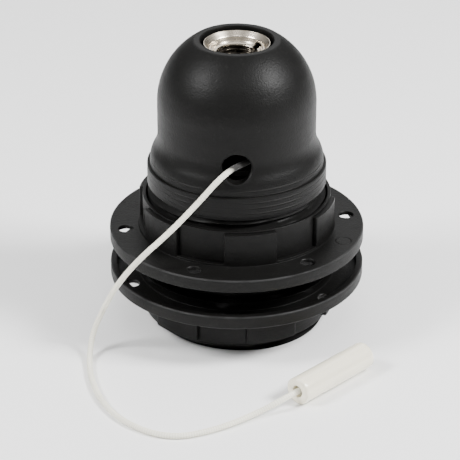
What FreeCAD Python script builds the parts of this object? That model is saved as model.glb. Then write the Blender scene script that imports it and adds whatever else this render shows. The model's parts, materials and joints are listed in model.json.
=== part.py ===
import FreeCAD, Part

"""Pull-switch lamp holder: a moulded E27 holder with a domed cap and two shade rings.

Millimetres, +Z up. The origin is on the axis, in the plane of the threaded sleeve's open end, on
which the holder stands. The cord leaves the cap towards -Y.
"""

import math
import os

import Sketcher

OUT_FOLDER = "parts"

THROUGH = 15.0  # longer than any wall that is cut right through
ARC_SHARE = 0.45  # share of the shorter run that an arc of the cord takes up

DRIVING_SIZES = [
    # edges and fits
    ("edge_break", 0.3), ("fit_gap", 0.1), ("running_gap", 0.05),
    # threaded sleeve (M40 x 2.5)
    ("thread_crest_radius", 19.85), ("thread_depth", 1.45), ("thread_bottom", 1.3),
    ("thread_top", 31.9), ("band_radius", 19.9), ("band_bottom", 33.2), ("groove_depth", 1.3),
    ("seam_height", 37.7), ("well_radius", 16.6), ("ledge_height", 24.0), ("ledge_top", 26.0),
    ("ledge_radius", 14.1), ("neck_bore", 14.8), ("neck_radius", 16.2), ("neck_top", 42.0),
    ("notch_left", -5.0), ("notch_right", 6.5), ("notch_bottom", 39.9),
    # shade rings
    ("flange_radius", 28.5), ("flange_thickness", 2.9), ("lip_width", 1.5), ("lip_height", 0.35),
    ("ring_bore", 20.2), ("collar_radius", 21.0), ("grip_radius", 22.0),
    ("collar_height", 8.0), ("grip_height", 7.5), ("grip_angle", 31.0), ("foot_height", 0.5),
    ("hole_circle_radius", 25.0), ("ring_hole_radius", 1.6), ("ring_count", 6),
    ("upper_ring_height", 19.48), ("lower_ring_height", 13.5),
    ("upper_ring_turn", 8.2), ("lower_ring_turn", 21.4),
    # cap
    ("cap_rim_radius", 19.3), ("cap_radius", 17.5), ("shoulder_bottom", 38.2),
    ("shoulder_radius", 6.7), ("shoulder_top", 44.9), ("dome_radius", 16.7),
    ("dome_height", 52.1), ("mouth_radius", 8.2), ("mouth_rounding", 1.2), ("mouth_lip", 1.0),
    ("cap_top", 66.45), ("cap_wall", 2.2), ("boss_radius", 9.8), ("boss_bottom", 54.0),
    ("boss_root", 63.45), ("cord_hole_radius", 3.15), ("cord_hole_height", 43.7),
    # threaded entry (M10 x 1)
    ("bush_radius", 7.3), ("bush_top", 65.75), ("bush_bottom", 54.6), ("entry_radius", 4.5),
    ("countersink_radius", 7.1), ("countersink_floor", 5.1), ("countersink_depth", 1.5),
    ("bush_seat_height", 62.6), ("lock_screw_radius", 1.25), ("lock_screw_height", 61.2),
    ("lock_screw_turn", 30.0), ("lock_screw_setback", 0.4), ("socket_radius", 0.7),
    ("socket_depth", 1.6),
    # lamp socket (E27)
    ("shell_bore", 13.3), ("shell_wall", 0.35), ("shell_bottom", 4.5), ("shell_top", 24.5),
    ("shell_floor_radius", 8.0), ("shell_flare", 0.7), ("flare_height", 1.2), ("shell_corner", 0.6),
    ("block_radius", 14.6), ("block_top", 34.5), ("recess_radius", 7.6), ("recess_top", 28.2),
    ("rivet_radius", 1.0), ("rivet_place", 10.8), ("rivet_head_radius", 1.8),
    ("rivet_head", 0.45), ("tongue_rivet_x", -5.0), ("tongue_head_radius", 1.4),
    ("tongue_height", 27.1), ("tongue_thickness", 0.5), ("tongue_width", 5.0),
    ("tongue_gap", 0.15), ("tongue_heel", -6.6), ("tongue_bend", -3.0), ("tip_height", 24.3),
    ("tip_start", 0.2), ("tip_end", 2.6), ("tip_curl", 0.85),
    # terminals
    ("terminal_x", 6.0), ("terminal_y", 7.0), ("terminal_top", 38.7), ("terminal_length", 5.0),
    ("terminal_width", 6.0), ("wire_hole_radius", 1.3), ("wire_hole_lift", 1.6),
    ("clamp_length", 1.6), ("clamp_head_radius", 2.2), ("clamp_head", 1.3),
    ("slot_width", 0.6), ("slot_depth", 0.6),
    # pull switch: frame
    ("frame_radius", 13.8), ("frame_bottom", 40.4), ("frame_top", 41.4), ("leg_x", 10.8),
    ("leg_y", -4.0), ("leg_radius", 2.2), ("port_radius", 2.7), ("frame_screw_length", 12.0),
    ("screw_head_radius", 1.9), ("screw_head", 0.8), ("pivot_x", 0.1), ("pivot_y", -2.63),
    ("pivot_radius", 1.0), ("pivot_top", 51.2),
    # pull switch: lever and spring
    ("lever_bottom", 45.4), ("lever_thickness", 1.0), ("lever_width", 3.6),
    ("lever_arm", 10.0), ("lever_turn", -31.0), ("lever_hub_radius", 2.6), ("tab_reach", 1.5),
    ("tab_clearance", 0.3), ("eye_radius", 1.2), ("spring_pitch", 1.0), ("spring_height", 3.0),
    ("spring_radius", 1.75), ("spring_wire_radius", 0.3), ("spring_lift", 0.4),
    # pull switch: ratchet wheel with its cam
    ("wheel_bottom", 46.7), ("wheel_thickness", 2.0), ("wheel_radius", 5.5),
    ("wheel_turn", 30.0), ("tooth_count", 12), ("tooth_depth", 0.9), ("tooth_rake", -0.15),
    ("tooth_back", 2.6), ("notch_reach", 1.4), ("cam_radius", 2.8), ("cam_thickness", 1.7),
    ("lobe_place", 2.9), ("lobe_radius", 0.8), ("lobe_count", 6),
    # pull switch: contacts
    ("post_radius", 0.5), ("blade_x", -3.65), ("blade_y", 9.6), ("blade_length", 18.0),
    ("blade_hub_radius", 1.0), ("blade_height", 1.3), ("blade_thickness", 0.4),
    ("blade_gap", 0.2), ("button_radius", 0.6), ("button_height", 0.3), ("button_place", 16.74),
    ("fixed_x", -5.6), ("fixed_y", -9.0), ("fixed_thickness", 0.5), ("fixed_width", 2.6),
    # cord and pull
    ("cord_radius", 0.75), ("cord_height", 43.8), ("ferrule_radius", 1.4),
    ("ferrule_length", 1.4), ("pull_radius", 3.0), ("pull_length", 22.0), ("pull_bore", 1.3),
    ("pull_bore_depth", 5.0), ("pull_edge", 0.7), ("pull_turn", 46.4), ("pull_x", 12.9),
    ("pull_y", -41.8),
]

CORD_ROUTE = [
    (10.9, -5.95, 43.8), (2.75, -13.73, 43.8), (-2.2, -19.6, 44.2), (-8.6, -21.0, 36.9),
    (-14.6, -23.2, 31.1), (-20.8, -24.6, 25.8), (-26.1, -21.8, 17.8), (-29.6, -18.8, 9.6),
    (-31.8, -18.6, 4.2), (-32.4, -23.2, 0.75), (-31.7, -31.5, 0.75), (-29.0, -41.6, 0.75),
    (-23.4, -51.0, 0.75), (-13.6, -57.0, 0.75), (-3.4, -53.0, 0.75), (5.4, -46.4, 1.0),
    (10.21, -44.62, 3.0), (16.35, -38.18, 3.0),
]


class Size:
    """A number in millimetres or degrees, kept with the expression that gives it."""

    def __init__(self, value, text=None):
        self.value = float(value)
        self.text = text or (repr(self.value) if self.value >= 0 else f"(0 - {-self.value!r})")

    def joined(self, sign, other, value):
        return Size(value, f"({self.text} {sign} {sized(other).text})")

    def __add__(self, other):
        return self.joined("+", other, self.value + sized(other).value)

    def __sub__(self, other):
        return self.joined("-", other, self.value - sized(other).value)

    def __mul__(self, other):
        return self.joined("*", other, self.value * sized(other).value)

    def __truediv__(self, other):
        return self.joined("/", other, self.value / sized(other).value)

    def __radd__(self, other):
        return sized(other) + self

    def __rsub__(self, other):
        return sized(other) - self

    def __rtruediv__(self, other):
        return sized(other) / self

    def __neg__(self):
        return sized(0.0) - self


def sized(number):
    """Return a plain number as a Size, and a Size as it is."""
    return number if isinstance(number, Size) else Size(number)


def polar(radius, angle):
    """The x and y of a point at a radius and an angle in degrees."""
    radius, angle = sized(radius), sized(angle)
    turn = math.radians(angle.value)
    return (Size(radius.value * math.cos(turn), f"({radius.text} * cos({angle.text} * 1 deg))"),
            Size(radius.value * math.sin(turn), f"({radius.text} * sin({angle.text} * 1 deg))"))


class Dimensions:
    """The driving sizes: one spreadsheet row and one attribute for each."""

    def __init__(self, doc):
        sheet = doc.addObject("Spreadsheet::Sheet", "Dimensions")
        for row, (name, value) in enumerate(DRIVING_SIZES, start=1):
            sheet.set(f"A{row}", name)
            sheet.set(f"B{row}", str(value))
            sheet.setAlias(f"B{row}", name)
            setattr(self, name, Size(value, f"Dimensions.{name}"))


doc = FreeCAD.newDocument("lamp_holder")
dim = Dimensions(doc)
doc.recompute()
subparts = []


def bind(thing, prop, amount):
    """Bind a property to the expression of a size."""
    thing.setExpression(prop, sized(amount).text)


def place(thing, x=0.0, y=0.0, z=0.0, turn=None, tilt=None):
    """Put an object at x, y, z, turned about Z after it is tilted about another axis."""
    rotation = FreeCAD.Rotation(FreeCAD.Vector(0, 0, 1), sized(turn or 0.0).value)
    if tilt:
        axis, angle = tilt
        rotation = rotation.multiply(FreeCAD.Rotation(FreeCAD.Vector(*axis), angle))
    thing.Placement = FreeCAD.Placement(FreeCAD.Vector(0, 0, 0), rotation)
    for name, amount in (("x", x), ("y", y), ("z", z)):
        bind(thing, f"Placement.Base.{name}", amount)
    return thing


def keep(thing, node):
    """Name a finished sub-part and list it for export."""
    thing.Label = node
    subparts.append(thing)
    return thing


# ---------------------------------------------------------------- Part workbench helpers


def cylinder(name, radius, height, **where):
    """A Part cylinder standing on its place."""
    solid = doc.addObject("Part::Cylinder", name)
    bind(solid, "Radius", radius)
    bind(solid, "Height", height)
    return place(solid, **where)


def box(name, length, width, height, **where):
    """A Part box with its lowest corner at its place."""
    solid = doc.addObject("Part::Box", name)
    bind(solid, "Length", length)
    bind(solid, "Width", width)
    bind(solid, "Height", height)
    return place(solid, **where)


def fused(name, *solids):
    """The union of some solids."""
    union = doc.addObject("Part::MultiFuse", name)
    union.Shapes = list(solids)
    return union


def cut(name, base, *tools):
    """A base without its tools."""
    tool = tools[0] if len(tools) == 1 else fused(f"{name}_tools", *tools)
    remainder = doc.addObject("Part::Cut", name)
    remainder.Base = base
    remainder.Tool = tool
    return remainder


# ---------------------------------------------------------------- PartDesign helpers


def origin_feature(body, role):
    """One of a body's own origin planes or axes."""
    return next(item for item in body.Origin.OriginFeatures if item.Role == role)


def new_sketch(body, name, role="XZ_Plane", height=0.0):
    """A sketch on one of the body's origin planes, lifted along that plane's normal."""
    sketch = body.newObject("Sketcher::SketchObject", name)
    sketch.AttachmentSupport = [(origin_feature(body, role), "")]
    sketch.MapMode = "FlatFace"
    bind(sketch, "AttachmentOffset.Base.z", height)
    return sketch


def arc_between(start, end, radius, side):
    """The minor arc from start to end; side 1 puts its centre on the left of that way, -1 right."""
    chord = end - start
    reach = math.sqrt(radius ** 2 - (chord.Length / 2) ** 2)
    left = FreeCAD.Vector(-chord.y, chord.x, 0).normalize()
    centre = (start + end) / 2 + left * (reach * side)
    first, last = (start, end) if side > 0 else (end, start)
    angles = [math.atan2(point.y - centre.y, point.x - centre.x) for point in (first, last)]
    circle = Part.Circle(centre, FreeCAD.Vector(0, 0, 1), radius)
    return Part.ArcOfCircle(circle, angles[0], angles[1])


def pin_point(sketch, edge, end, point):
    """Tie one end of an edge to its coordinates, each bound to its expression."""
    for kind, axis, amount in (("DistanceX", -2, point[0]), ("DistanceY", -1, point[1])):
        amount = sized(amount)
        if abs(amount.value) < 1e-9:
            sketch.addConstraint(Sketcher.Constraint("PointOnObject", edge, end, axis))
            continue
        index = sketch.addConstraint(Sketcher.Constraint(kind, -1, 1, edge, end, amount.value))
        bind(sketch, f"Constraints[{index}]", amount)


def outline(sketch, corners):
    """Draw a closed outline through corners (x, y) or (x, y, radius, side of the arc that follows)."""
    points = [FreeCAD.Vector(sized(c[0]).value, sized(c[1]).value, 0) for c in corners]
    ends = []
    for index, corner in enumerate(corners):
        start, end = points[index], points[(index + 1) % len(points)]
        if len(corner) == 2:
            edge = sketch.addGeometry(Part.LineSegment(start, end), False)
            ends.append((edge, 1, 2))
            continue
        radius, side = sized(corner[2]), corner[3]
        edge = sketch.addGeometry(arc_between(start, end, radius.value, side), False)
        ends.append((edge, 1, 2) if side > 0 else (edge, 2, 1))
        rule = sketch.addConstraint(Sketcher.Constraint("Radius", edge, radius.value))
        bind(sketch, f"Constraints[{rule}]", radius)
    for index, corner in enumerate(corners):
        edge, first, last = ends[index]
        following, next_first, _ = ends[(index + 1) % len(ends)]
        sketch.addConstraint(Sketcher.Constraint("Coincident", edge, last, following, next_first))
        pin_point(sketch, edge, first, corner)


def circle_outline(sketch, x, y, radius):
    """Draw a circle with its centre and radius bound."""
    radius = sized(radius)
    centre = FreeCAD.Vector(sized(x).value, sized(y).value, 0)
    edge = sketch.addGeometry(Part.Circle(centre, FreeCAD.Vector(0, 0, 1), radius.value), False)
    rule = sketch.addConstraint(Sketcher.Constraint("Radius", edge, radius.value))
    bind(sketch, f"Constraints[{rule}]", radius)
    pin_point(sketch, edge, 3, (x, y))


def new_body(name):
    """An empty PartDesign body."""
    return doc.addObject("PartDesign::Body", name)


def turned(body, name, corners, kind="Revolution"):
    """Revolve, or groove, an outline of (radius, height) corners about the body's Z axis."""
    sketch = new_sketch(body, f"{name}_sketch")
    outline(sketch, corners)
    feature = body.newObject(f"PartDesign::{kind}", name)
    feature.Profile = sketch
    feature.ReferenceAxis = (sketch, ["V_Axis"])
    feature.Angle = 360.0
    return feature


def pad(body, sketch, name, length):
    """Pad a sketch upwards by a length."""
    feature = body.newObject("PartDesign::Pad", name)
    feature.Profile = sketch
    bind(feature, "Length", length)
    return feature


def pocket(body, sketch, name, length, upwards):
    """Pocket a sketch by a length, towards or against its plane's normal."""
    feature = body.newObject("PartDesign::Pocket", name)
    feature.Profile = sketch
    feature.Reversed = upwards
    bind(feature, "Length", length)
    return feature


def around(body, feature, name, count):
    """Repeat a feature evenly about the body's Z axis."""
    pattern = body.newObject("PartDesign::PolarPattern", name)
    pattern.Originals = [feature]
    pattern.Axis = (origin_feature(body, "Z_Axis"), [""])
    pattern.Angle = 360.0
    bind(pattern, "Occurrences", count)
    body.Tip = pattern
    return pattern


# ---------------------------------------------------------------- the moulded shell


def make_threaded_sleeve():
    """The skirt: threaded outside, with a plain band on top and a neck that the cap fits on."""
    body = new_body("threaded_sleeve")
    core = dim.thread_crest_radius - dim.thread_depth
    groove = dim.band_radius - dim.groove_depth
    profile = turned(body, "sleeve_turned", [
        (core, 0.0), (dim.thread_crest_radius, dim.thread_bottom),
        (dim.thread_crest_radius, dim.thread_top - dim.thread_depth * 0.6),
        (groove, dim.thread_top), (groove, dim.band_bottom - dim.edge_break),
        (dim.band_radius, dim.band_bottom), (dim.band_radius, dim.seam_height - dim.edge_break),
        (dim.band_radius - dim.edge_break, dim.seam_height), (dim.neck_radius, dim.seam_height),
        (dim.neck_radius, dim.neck_top), (dim.neck_bore, dim.neck_top),
        (dim.neck_bore, dim.ledge_top), (dim.ledge_radius, dim.ledge_top),
        (dim.ledge_radius, dim.ledge_height), (dim.well_radius, dim.ledge_height),
        (dim.well_radius, 0.0),
    ])
    sketch = new_sketch(body, "neck_notch_sketch", "XY_Plane", dim.notch_bottom)
    front, back = -dim.band_radius, -dim.boss_radius
    outline(sketch, [(dim.notch_left, front), (dim.notch_right, front),
                     (dim.notch_right, back), (dim.notch_left, back)])
    notch = pocket(body, sketch, "neck_notch", THROUGH, True)
    return keep(body, "threaded_sleeve"), [profile, notch]


def make_shade_ring(node, height, turn, flipped):
    """A screwed ring: flange with six holes, and a collar with six raised grips."""
    body = new_body(node)
    collar_top = dim.flange_thickness + dim.collar_height
    foot_top = dim.flange_thickness + dim.foot_height
    profile = turned(body, f"{node}_turned", [
        (dim.ring_bore, dim.lip_height), (dim.flange_radius - dim.lip_width, dim.lip_height),
        (dim.flange_radius - dim.lip_width, 0.0), (dim.flange_radius - dim.edge_break, 0.0),
        (dim.flange_radius, dim.edge_break),
        (dim.flange_radius, dim.flange_thickness - dim.edge_break),
        (dim.flange_radius - dim.edge_break, dim.flange_thickness),
        (dim.grip_radius, dim.flange_thickness), (dim.grip_radius, foot_top),
        (dim.collar_radius, foot_top), (dim.collar_radius, collar_top - dim.fit_gap),
        (dim.collar_radius - dim.fit_gap, collar_top), (dim.ring_bore + dim.edge_break, collar_top),
        (dim.ring_bore, collar_top - dim.edge_break),
    ])
    sketch = new_sketch(body, f"{node}_hole_sketch", "XY_Plane", 0.0)
    circle_outline(sketch, dim.hole_circle_radius, 0.0, dim.ring_hole_radius)
    hole = pocket(body, sketch, f"{node}_hole", dim.flange_thickness, True)
    holes = around(body, hole, f"{node}_holes", dim.ring_count)
    grip_sketch = new_sketch(body, f"{node}_grip_sketch", "XY_Plane", dim.flange_thickness)
    grip_outline(grip_sketch)
    grip = pad(body, grip_sketch, f"{node}_grip", dim.grip_height)
    around(body, grip, f"{node}_grips", dim.ring_count)
    tilt = ((1, 0, 0), 180.0) if flipped else None
    place(body, z=height, turn=turn, tilt=tilt)
    return keep(body, node), [profile, hole, holes]


def grip_outline(sketch):
    """Draw a ring sector, centred between two holes, that thickens the collar."""
    middle = 180.0 / dim.ring_count
    first, last = middle - dim.grip_angle / 2, middle + dim.grip_angle / 2
    inner, outer = dim.collar_radius - dim.edge_break, dim.grip_radius
    outline(sketch, [
        polar(inner, first), (*polar(outer, first), outer, 1),
        polar(outer, last), (*polar(inner, last), inner, -1),
    ])


def radial_sketch(body, name, azimuth):
    """A sketch on a plane through the axis, whose normal points outwards at an azimuth."""
    sketch = new_sketch(body, name)
    sketch.AttachmentOffset = FreeCAD.Placement(
        FreeCAD.Vector(), FreeCAD.Rotation(FreeCAD.Vector(0, 1, 0), sized(azimuth).value + 90.0))
    return sketch


def lock_screw_hole(body, name):
    """The radial hole of the grub screw that keeps the entry from turning."""
    sketch = radial_sketch(body, f"{name}_sketch", dim.lock_screw_turn)
    circle_outline(sketch, 0.0, dim.lock_screw_height, dim.lock_screw_radius)
    return pocket(body, sketch, name, dim.boss_radius + dim.fit_gap, True)


def make_cap():
    """The domed cover: shoulder, dome, mouth for the entry, and the hole for the cord."""
    body = new_body("cap")
    wall = dim.cap_wall
    inner = dim.cap_radius - wall
    bore = dim.neck_radius + dim.fit_gap
    bore_top = dim.neck_top + dim.fit_gap
    middle = (dim.cap_rim_radius + dim.cap_radius) / 2
    middle_height = (dim.shoulder_bottom + dim.shoulder_top) / 2
    profile = turned(body, "cap_turned", [
        (bore, dim.seam_height), (dim.cap_rim_radius - dim.edge_break, dim.seam_height),
        (dim.cap_rim_radius, dim.seam_height + dim.edge_break),
        (dim.cap_rim_radius, dim.shoulder_bottom, dim.shoulder_radius, 1),
        (middle, middle_height, dim.shoulder_radius, -1),
        (dim.cap_radius, dim.shoulder_top),
        (dim.cap_radius, dim.dome_height, dim.dome_radius, 1),
        (dim.mouth_radius + dim.mouth_rounding, dim.cap_top, dim.mouth_rounding, 1),
        (dim.mouth_radius, dim.cap_top - dim.mouth_lip),
        (dim.mouth_radius, dim.bush_seat_height), (dim.bush_radius, dim.bush_seat_height),
        (dim.bush_radius, dim.boss_bottom), (dim.boss_radius, dim.boss_bottom),
        (dim.boss_radius, dim.boss_root, dim.dome_radius - wall, -1),
        (inner, dim.dome_height), (inner, bore_top + bore - inner), (bore, bore_top),
    ])
    sketch = new_sketch(body, "cord_hole_sketch", "XZ_Plane", dim.boss_radius)
    circle_outline(sketch, 0.0, dim.cord_hole_height, dim.cord_hole_radius)
    cord_hole = pocket(body, sketch, "cord_hole", THROUGH, True)
    doc.recompute()
    chamfer = body.newObject("PartDesign::Chamfer", "cord_hole_rim")
    chamfer.Base = (cord_hole, outer_rim_edges(cord_hole.Shape))
    bind(chamfer, "Size", dim.edge_break)
    screw_hole = lock_screw_hole(body, "cap_lock_hole")
    return keep(body, "cap"), [profile, cord_hole, chamfer, screw_hole]


def outer_rim_edges(shape):
    """Names of the edges where the cord hole meets the cap's outside."""
    names = []
    slack = dim.fit_gap.value
    reach = dim.cord_hole_radius.value + slack
    low, high = dim.cord_hole_height.value - reach, dim.cord_hole_height.value + reach
    front = slack - (dim.cap_radius - dim.edge_break).value
    for index, edge in enumerate(shape.Edges, start=1):
        limits = edge.BoundBox
        across = max(abs(limits.XMin), abs(limits.XMax)) < reach
        upright = limits.ZMin > low and limits.ZMax < high
        if across and upright and limits.YMax < front and edge.Length > slack:
            names.append(f"Edge{index}")
    return names


def make_entry_bush():
    """The metal bush that a threaded tube screws into, with a wide countersunk mouth."""
    body = new_body("entry_bush")
    edge = dim.bush_radius - dim.countersink_radius
    throat = dim.countersink_floor - dim.entry_radius
    floor = dim.bush_top - dim.countersink_depth
    profile = turned(body, "bush_turned", [
        (dim.entry_radius, dim.bush_bottom), (dim.bush_radius, dim.bush_bottom),
        (dim.bush_radius, dim.bush_top - edge), (dim.countersink_radius, dim.bush_top),
        (dim.countersink_floor, floor), (dim.entry_radius, floor - throat),
    ])
    hole = lock_screw_hole(body, "bush_lock_hole")
    return keep(body, "entry_bush"), [profile, hole]


def make_entry_lock_screw():
    """A grub screw with a hexagon socket, lying radially in the boss and the bush."""
    start = dim.entry_radius + dim.lock_screw_setback
    way = {"z": dim.lock_screw_height, "turn": dim.lock_screw_turn, "tilt": ((0, 1, 0), 90.0)}
    x, y = polar(start, dim.lock_screw_turn)
    screw = cylinder("lock_screw_shank", dim.lock_screw_radius, dim.boss_radius - start, x=x, y=y,
                     **way)
    socket = doc.addObject("Part::Prism", "lock_screw_socket")
    socket.Polygon = 6
    bind(socket, "Circumradius", dim.socket_radius)
    bind(socket, "Height", dim.socket_depth)
    x, y = polar(dim.boss_radius - dim.socket_depth, dim.lock_screw_turn)
    place(socket, x=x, y=y, **way)
    return keep(cut("lock_screw", screw, socket), "entry_lock_screw"), []


# ---------------------------------------------------------------- the lamp socket


def make_contact_block():
    """The insulating block that closes the well and carries the shell and the terminals."""
    body = new_body("contact_block")
    lower = dim.ledge_radius - dim.fit_gap
    profile = turned(body, "block_turned", [
        (dim.recess_radius, dim.shell_top), (lower, dim.shell_top), (lower, dim.ledge_top),
        (dim.block_radius, dim.ledge_top), (dim.block_radius, dim.block_top), (0.0, dim.block_top),
        (0.0, dim.recess_top), (dim.recess_radius, dim.recess_top),
    ])
    holes = [profile]
    places = [(0.0, dim.rivet_place), (0.0, -dim.rivet_place), (dim.tongue_rivet_x, 0.0),
              (dim.leg_x, dim.leg_y), (-dim.leg_x, dim.leg_y)]
    for number, (x, y) in enumerate(places, start=1):
        sketch = new_sketch(body, f"block_hole_sketch_{number}", "XY_Plane", dim.shell_top)
        circle_outline(sketch, x, y, dim.rivet_radius)
        holes.append(pocket(body, sketch, f"block_hole_{number}", THROUGH, True))
    return keep(body, "contact_block"), holes


def make_screw_shell():
    """The metal shell that the lamp screws into, a thin cup with a flared lip."""
    body = new_body("screw_shell")
    outer = dim.shell_bore + dim.shell_wall
    flare_top = dim.shell_bottom + dim.flare_height
    inner_floor, bend = dim.shell_top - dim.shell_wall, dim.shell_corner + dim.shell_wall
    profile = turned(body, "shell_turned", [
        (dim.shell_bore + dim.shell_flare, dim.shell_bottom),
        (outer + dim.shell_flare, dim.shell_bottom), (outer, flare_top),
        (outer, dim.shell_top - bend, bend, 1), (outer - bend, dim.shell_top),
        (dim.shell_floor_radius, dim.shell_top), (dim.shell_floor_radius, inner_floor),
        (dim.shell_bore - dim.shell_corner, inner_floor, dim.shell_corner, -1),
        (dim.shell_bore, inner_floor - dim.shell_corner), (dim.shell_bore, flare_top),
    ])
    sketch = new_sketch(body, "shell_hole_sketch", "XY_Plane", inner_floor)
    circle_outline(sketch, 0.0, dim.rivet_place, dim.rivet_radius)
    hole = pocket(body, sketch, "shell_hole", THROUGH, True)
    holes = around(body, hole, "shell_holes", 2)
    return keep(body, "screw_shell"), [profile, hole, holes]


def rivet(name, x, y, bottom, top, head_radius):
    """A rivet with a flat head at each end of its shank."""
    shank = cylinder(f"{name}_shank", dim.rivet_radius, top - bottom, x=x, y=y, z=bottom)
    low = cylinder(f"{name}_low_head", head_radius, dim.rivet_head, x=x, y=y,
                   z=bottom - dim.rivet_head)
    high = cylinder(f"{name}_high_head", head_radius, dim.rivet_head, x=x, y=y, z=top)
    return fused(name, shank, low, high)


def make_shell_rivets():
    """The two rivets that hold the shell under the block."""
    bottom = dim.shell_top - dim.shell_wall
    pair = [rivet(f"shell_rivet_{side}", 0.0, dim.rivet_place * sign, bottom, dim.block_top,
                  dim.rivet_head_radius) for side, sign in (("back", 1), ("front", -1))]
    group = doc.addObject("Part::Compound", "shell_rivet_pair")
    group.Links = pair
    return keep(group, "shell_rivets"), []


def make_contact_rivet():
    """The rivet that carries the centre contact's tongue, with a shoulder above the tongue."""
    x = dim.tongue_rivet_x
    bottom = dim.tongue_height - dim.tongue_gap
    shoulder_bottom = dim.tongue_height + dim.tongue_thickness + dim.tongue_gap
    plain = rivet("tongue_rivet", x, 0.0, bottom, dim.block_top, dim.tongue_head_radius)
    shoulder = cylinder("tongue_shoulder", dim.tongue_head_radius, dim.recess_top - shoulder_bottom,
                        x=x, z=shoulder_bottom)
    return keep(fused("shouldered_rivet", plain, shoulder), "contact_rivet"), []


def make_centre_contact():
    """The sprung tongue that touches the lamp's tip."""
    body = new_body("centre_contact")
    thickness = dim.tongue_thickness
    low, high = dim.tongue_height, dim.tongue_height + thickness
    tip, tip_top = dim.tip_height, dim.tip_height + thickness
    curl_x, curl_z = dim.tip_end + dim.tip_curl, tip + dim.tip_curl
    slant = thickness * math.sqrt(0.5)
    fold = thickness * math.tan(math.radians(22.5))
    sketch = new_sketch(body, "tongue_sketch")
    outline(sketch, [
        (dim.tongue_heel, high), (dim.tongue_heel, low), (dim.tongue_bend, low),
        (dim.tip_start, tip), (dim.tip_end, tip), (curl_x, curl_z),
        (curl_x - slant, curl_z + slant), (dim.tip_end - fold, tip_top),
        (dim.tip_start + fold, tip_top), (dim.tongue_bend + fold, high),
    ])
    tongue = pad(body, sketch, "tongue", dim.tongue_width)
    tongue.Midplane = True
    hole_sketch = new_sketch(body, "tongue_hole_sketch", "XY_Plane", tip_top + dim.tip_curl)
    circle_outline(hole_sketch, dim.tongue_rivet_x, 0.0, dim.rivet_radius + dim.running_gap)
    hole = pocket(body, hole_sketch, "tongue_hole", THROUGH, True)
    return keep(body, "centre_contact"), [hole]


def make_terminal(side, sign):
    """A brass terminal block with a wire hole, and its slotted clamping screw."""
    x, y = dim.terminal_x * sign, dim.terminal_y
    low, top = dim.block_top, dim.terminal_top
    half_length, half_width = dim.terminal_length / 2, dim.terminal_width / 2
    wire_height = low + dim.wire_hole_lift
    block = box(f"terminal_{side}_blank", dim.terminal_length, dim.terminal_width, top - low,
                x=x - half_length, y=y - half_width, z=low)
    wire = cylinder(f"terminal_{side}_wire_hole", dim.wire_hole_radius, dim.terminal_width, x=x,
                    y=y + half_width, z=wire_height, tilt=((1, 0, 0), 90.0))
    tapped = cylinder(f"terminal_{side}_tapped_hole", dim.wire_hole_radius, top - wire_height, x=x,
                      y=y, z=wire_height)
    block = keep(cut(f"terminal_{side}_block", block, wire, tapped), f"terminal_{side}")
    shank = cylinder(f"terminal_{side}_shank", dim.wire_hole_radius, dim.clamp_length, x=x, y=y,
                     z=top - dim.clamp_length)
    head = cylinder(f"terminal_{side}_head", dim.clamp_head_radius, dim.clamp_head, x=x, y=y, z=top)
    pin = fused(f"terminal_{side}_pin", shank, head)
    screw = slotted(f"terminal_{side}_slotted", pin, x, y, dim.clamp_head_radius,
                    top + dim.clamp_head)
    keep(screw, f"terminal_screw_{side}")
    return block, []


def slotted(name, screw, x, y, head_radius, head_top):
    """A screw with a slot cut across its head along X."""
    slot = box(f"{name}_slot", head_radius * 2, dim.slot_width, dim.slot_depth, x=x - head_radius,
               y=y - dim.slot_width / 2, z=head_top - dim.slot_depth)
    return cut(name, screw, slot)


# ---------------------------------------------------------------- the pull switch


def make_switch_frame():
    """The plate on two legs that carries the switch above the terminals."""
    plate = cylinder("frame_plate", dim.frame_radius, dim.frame_top - dim.frame_bottom,
                     z=dim.frame_bottom)
    legs, openings = [], []
    for side, sign in (("left", -1), ("right", 1)):
        x, y = dim.leg_x * sign, dim.leg_y
        legs.append(cylinder(f"frame_leg_{side}", dim.leg_radius, dim.frame_bottom - dim.block_top,
                             x=x, y=y, z=dim.block_top))
        openings.append(cylinder(f"frame_screw_bore_{side}", dim.rivet_radius, THROUGH, x=x, y=y,
                                 z=dim.block_top))
        openings.append(cylinder(f"frame_port_{side}", dim.port_radius, THROUGH,
                                 x=dim.terminal_x * sign, y=dim.terminal_y, z=dim.frame_bottom))
    openings.append(cylinder("frame_pivot_bore", dim.pivot_radius, THROUGH, x=dim.pivot_x,
                             y=dim.pivot_y, z=dim.frame_bottom))
    openings.append(cylinder("frame_post_bore", dim.post_radius, THROUGH, x=dim.blade_x,
                             y=dim.blade_y, z=dim.frame_bottom))
    blank = fused("frame_blank", plate, *legs)
    return keep(cut("frame_cut", blank, *openings), "switch_frame"), []


def make_frame_screws():
    """The two screws that hold the frame's legs on the block."""
    screws = []
    for side, sign in (("left", -1), ("right", 1)):
        x, y = dim.leg_x * sign, dim.leg_y
        shank = cylinder(f"frame_screw_shank_{side}", dim.rivet_radius, dim.frame_screw_length,
                         x=x, y=y, z=dim.frame_top - dim.frame_screw_length)
        head = cylinder(f"frame_screw_head_{side}", dim.screw_head_radius, dim.screw_head, x=x,
                        y=y, z=dim.frame_top)
        pin = fused(f"frame_screw_pin_{side}", shank, head)
        screws.append(slotted(f"frame_screw_{side}", pin, x, y, dim.screw_head_radius,
                              dim.frame_top + dim.screw_head))
    group = doc.addObject("Part::Compound", "frame_screw_pair")
    group.Links = screws
    return keep(group, "frame_screws"), []


def make_lever_pin():
    """The pin that the lever and the ratchet wheel turn on."""
    pin = cylinder("pin_shank", dim.pivot_radius, dim.pivot_top - dim.frame_bottom, x=dim.pivot_x,
                   y=dim.pivot_y, z=dim.frame_bottom)
    return keep(pin, "lever_pin"), []


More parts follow.
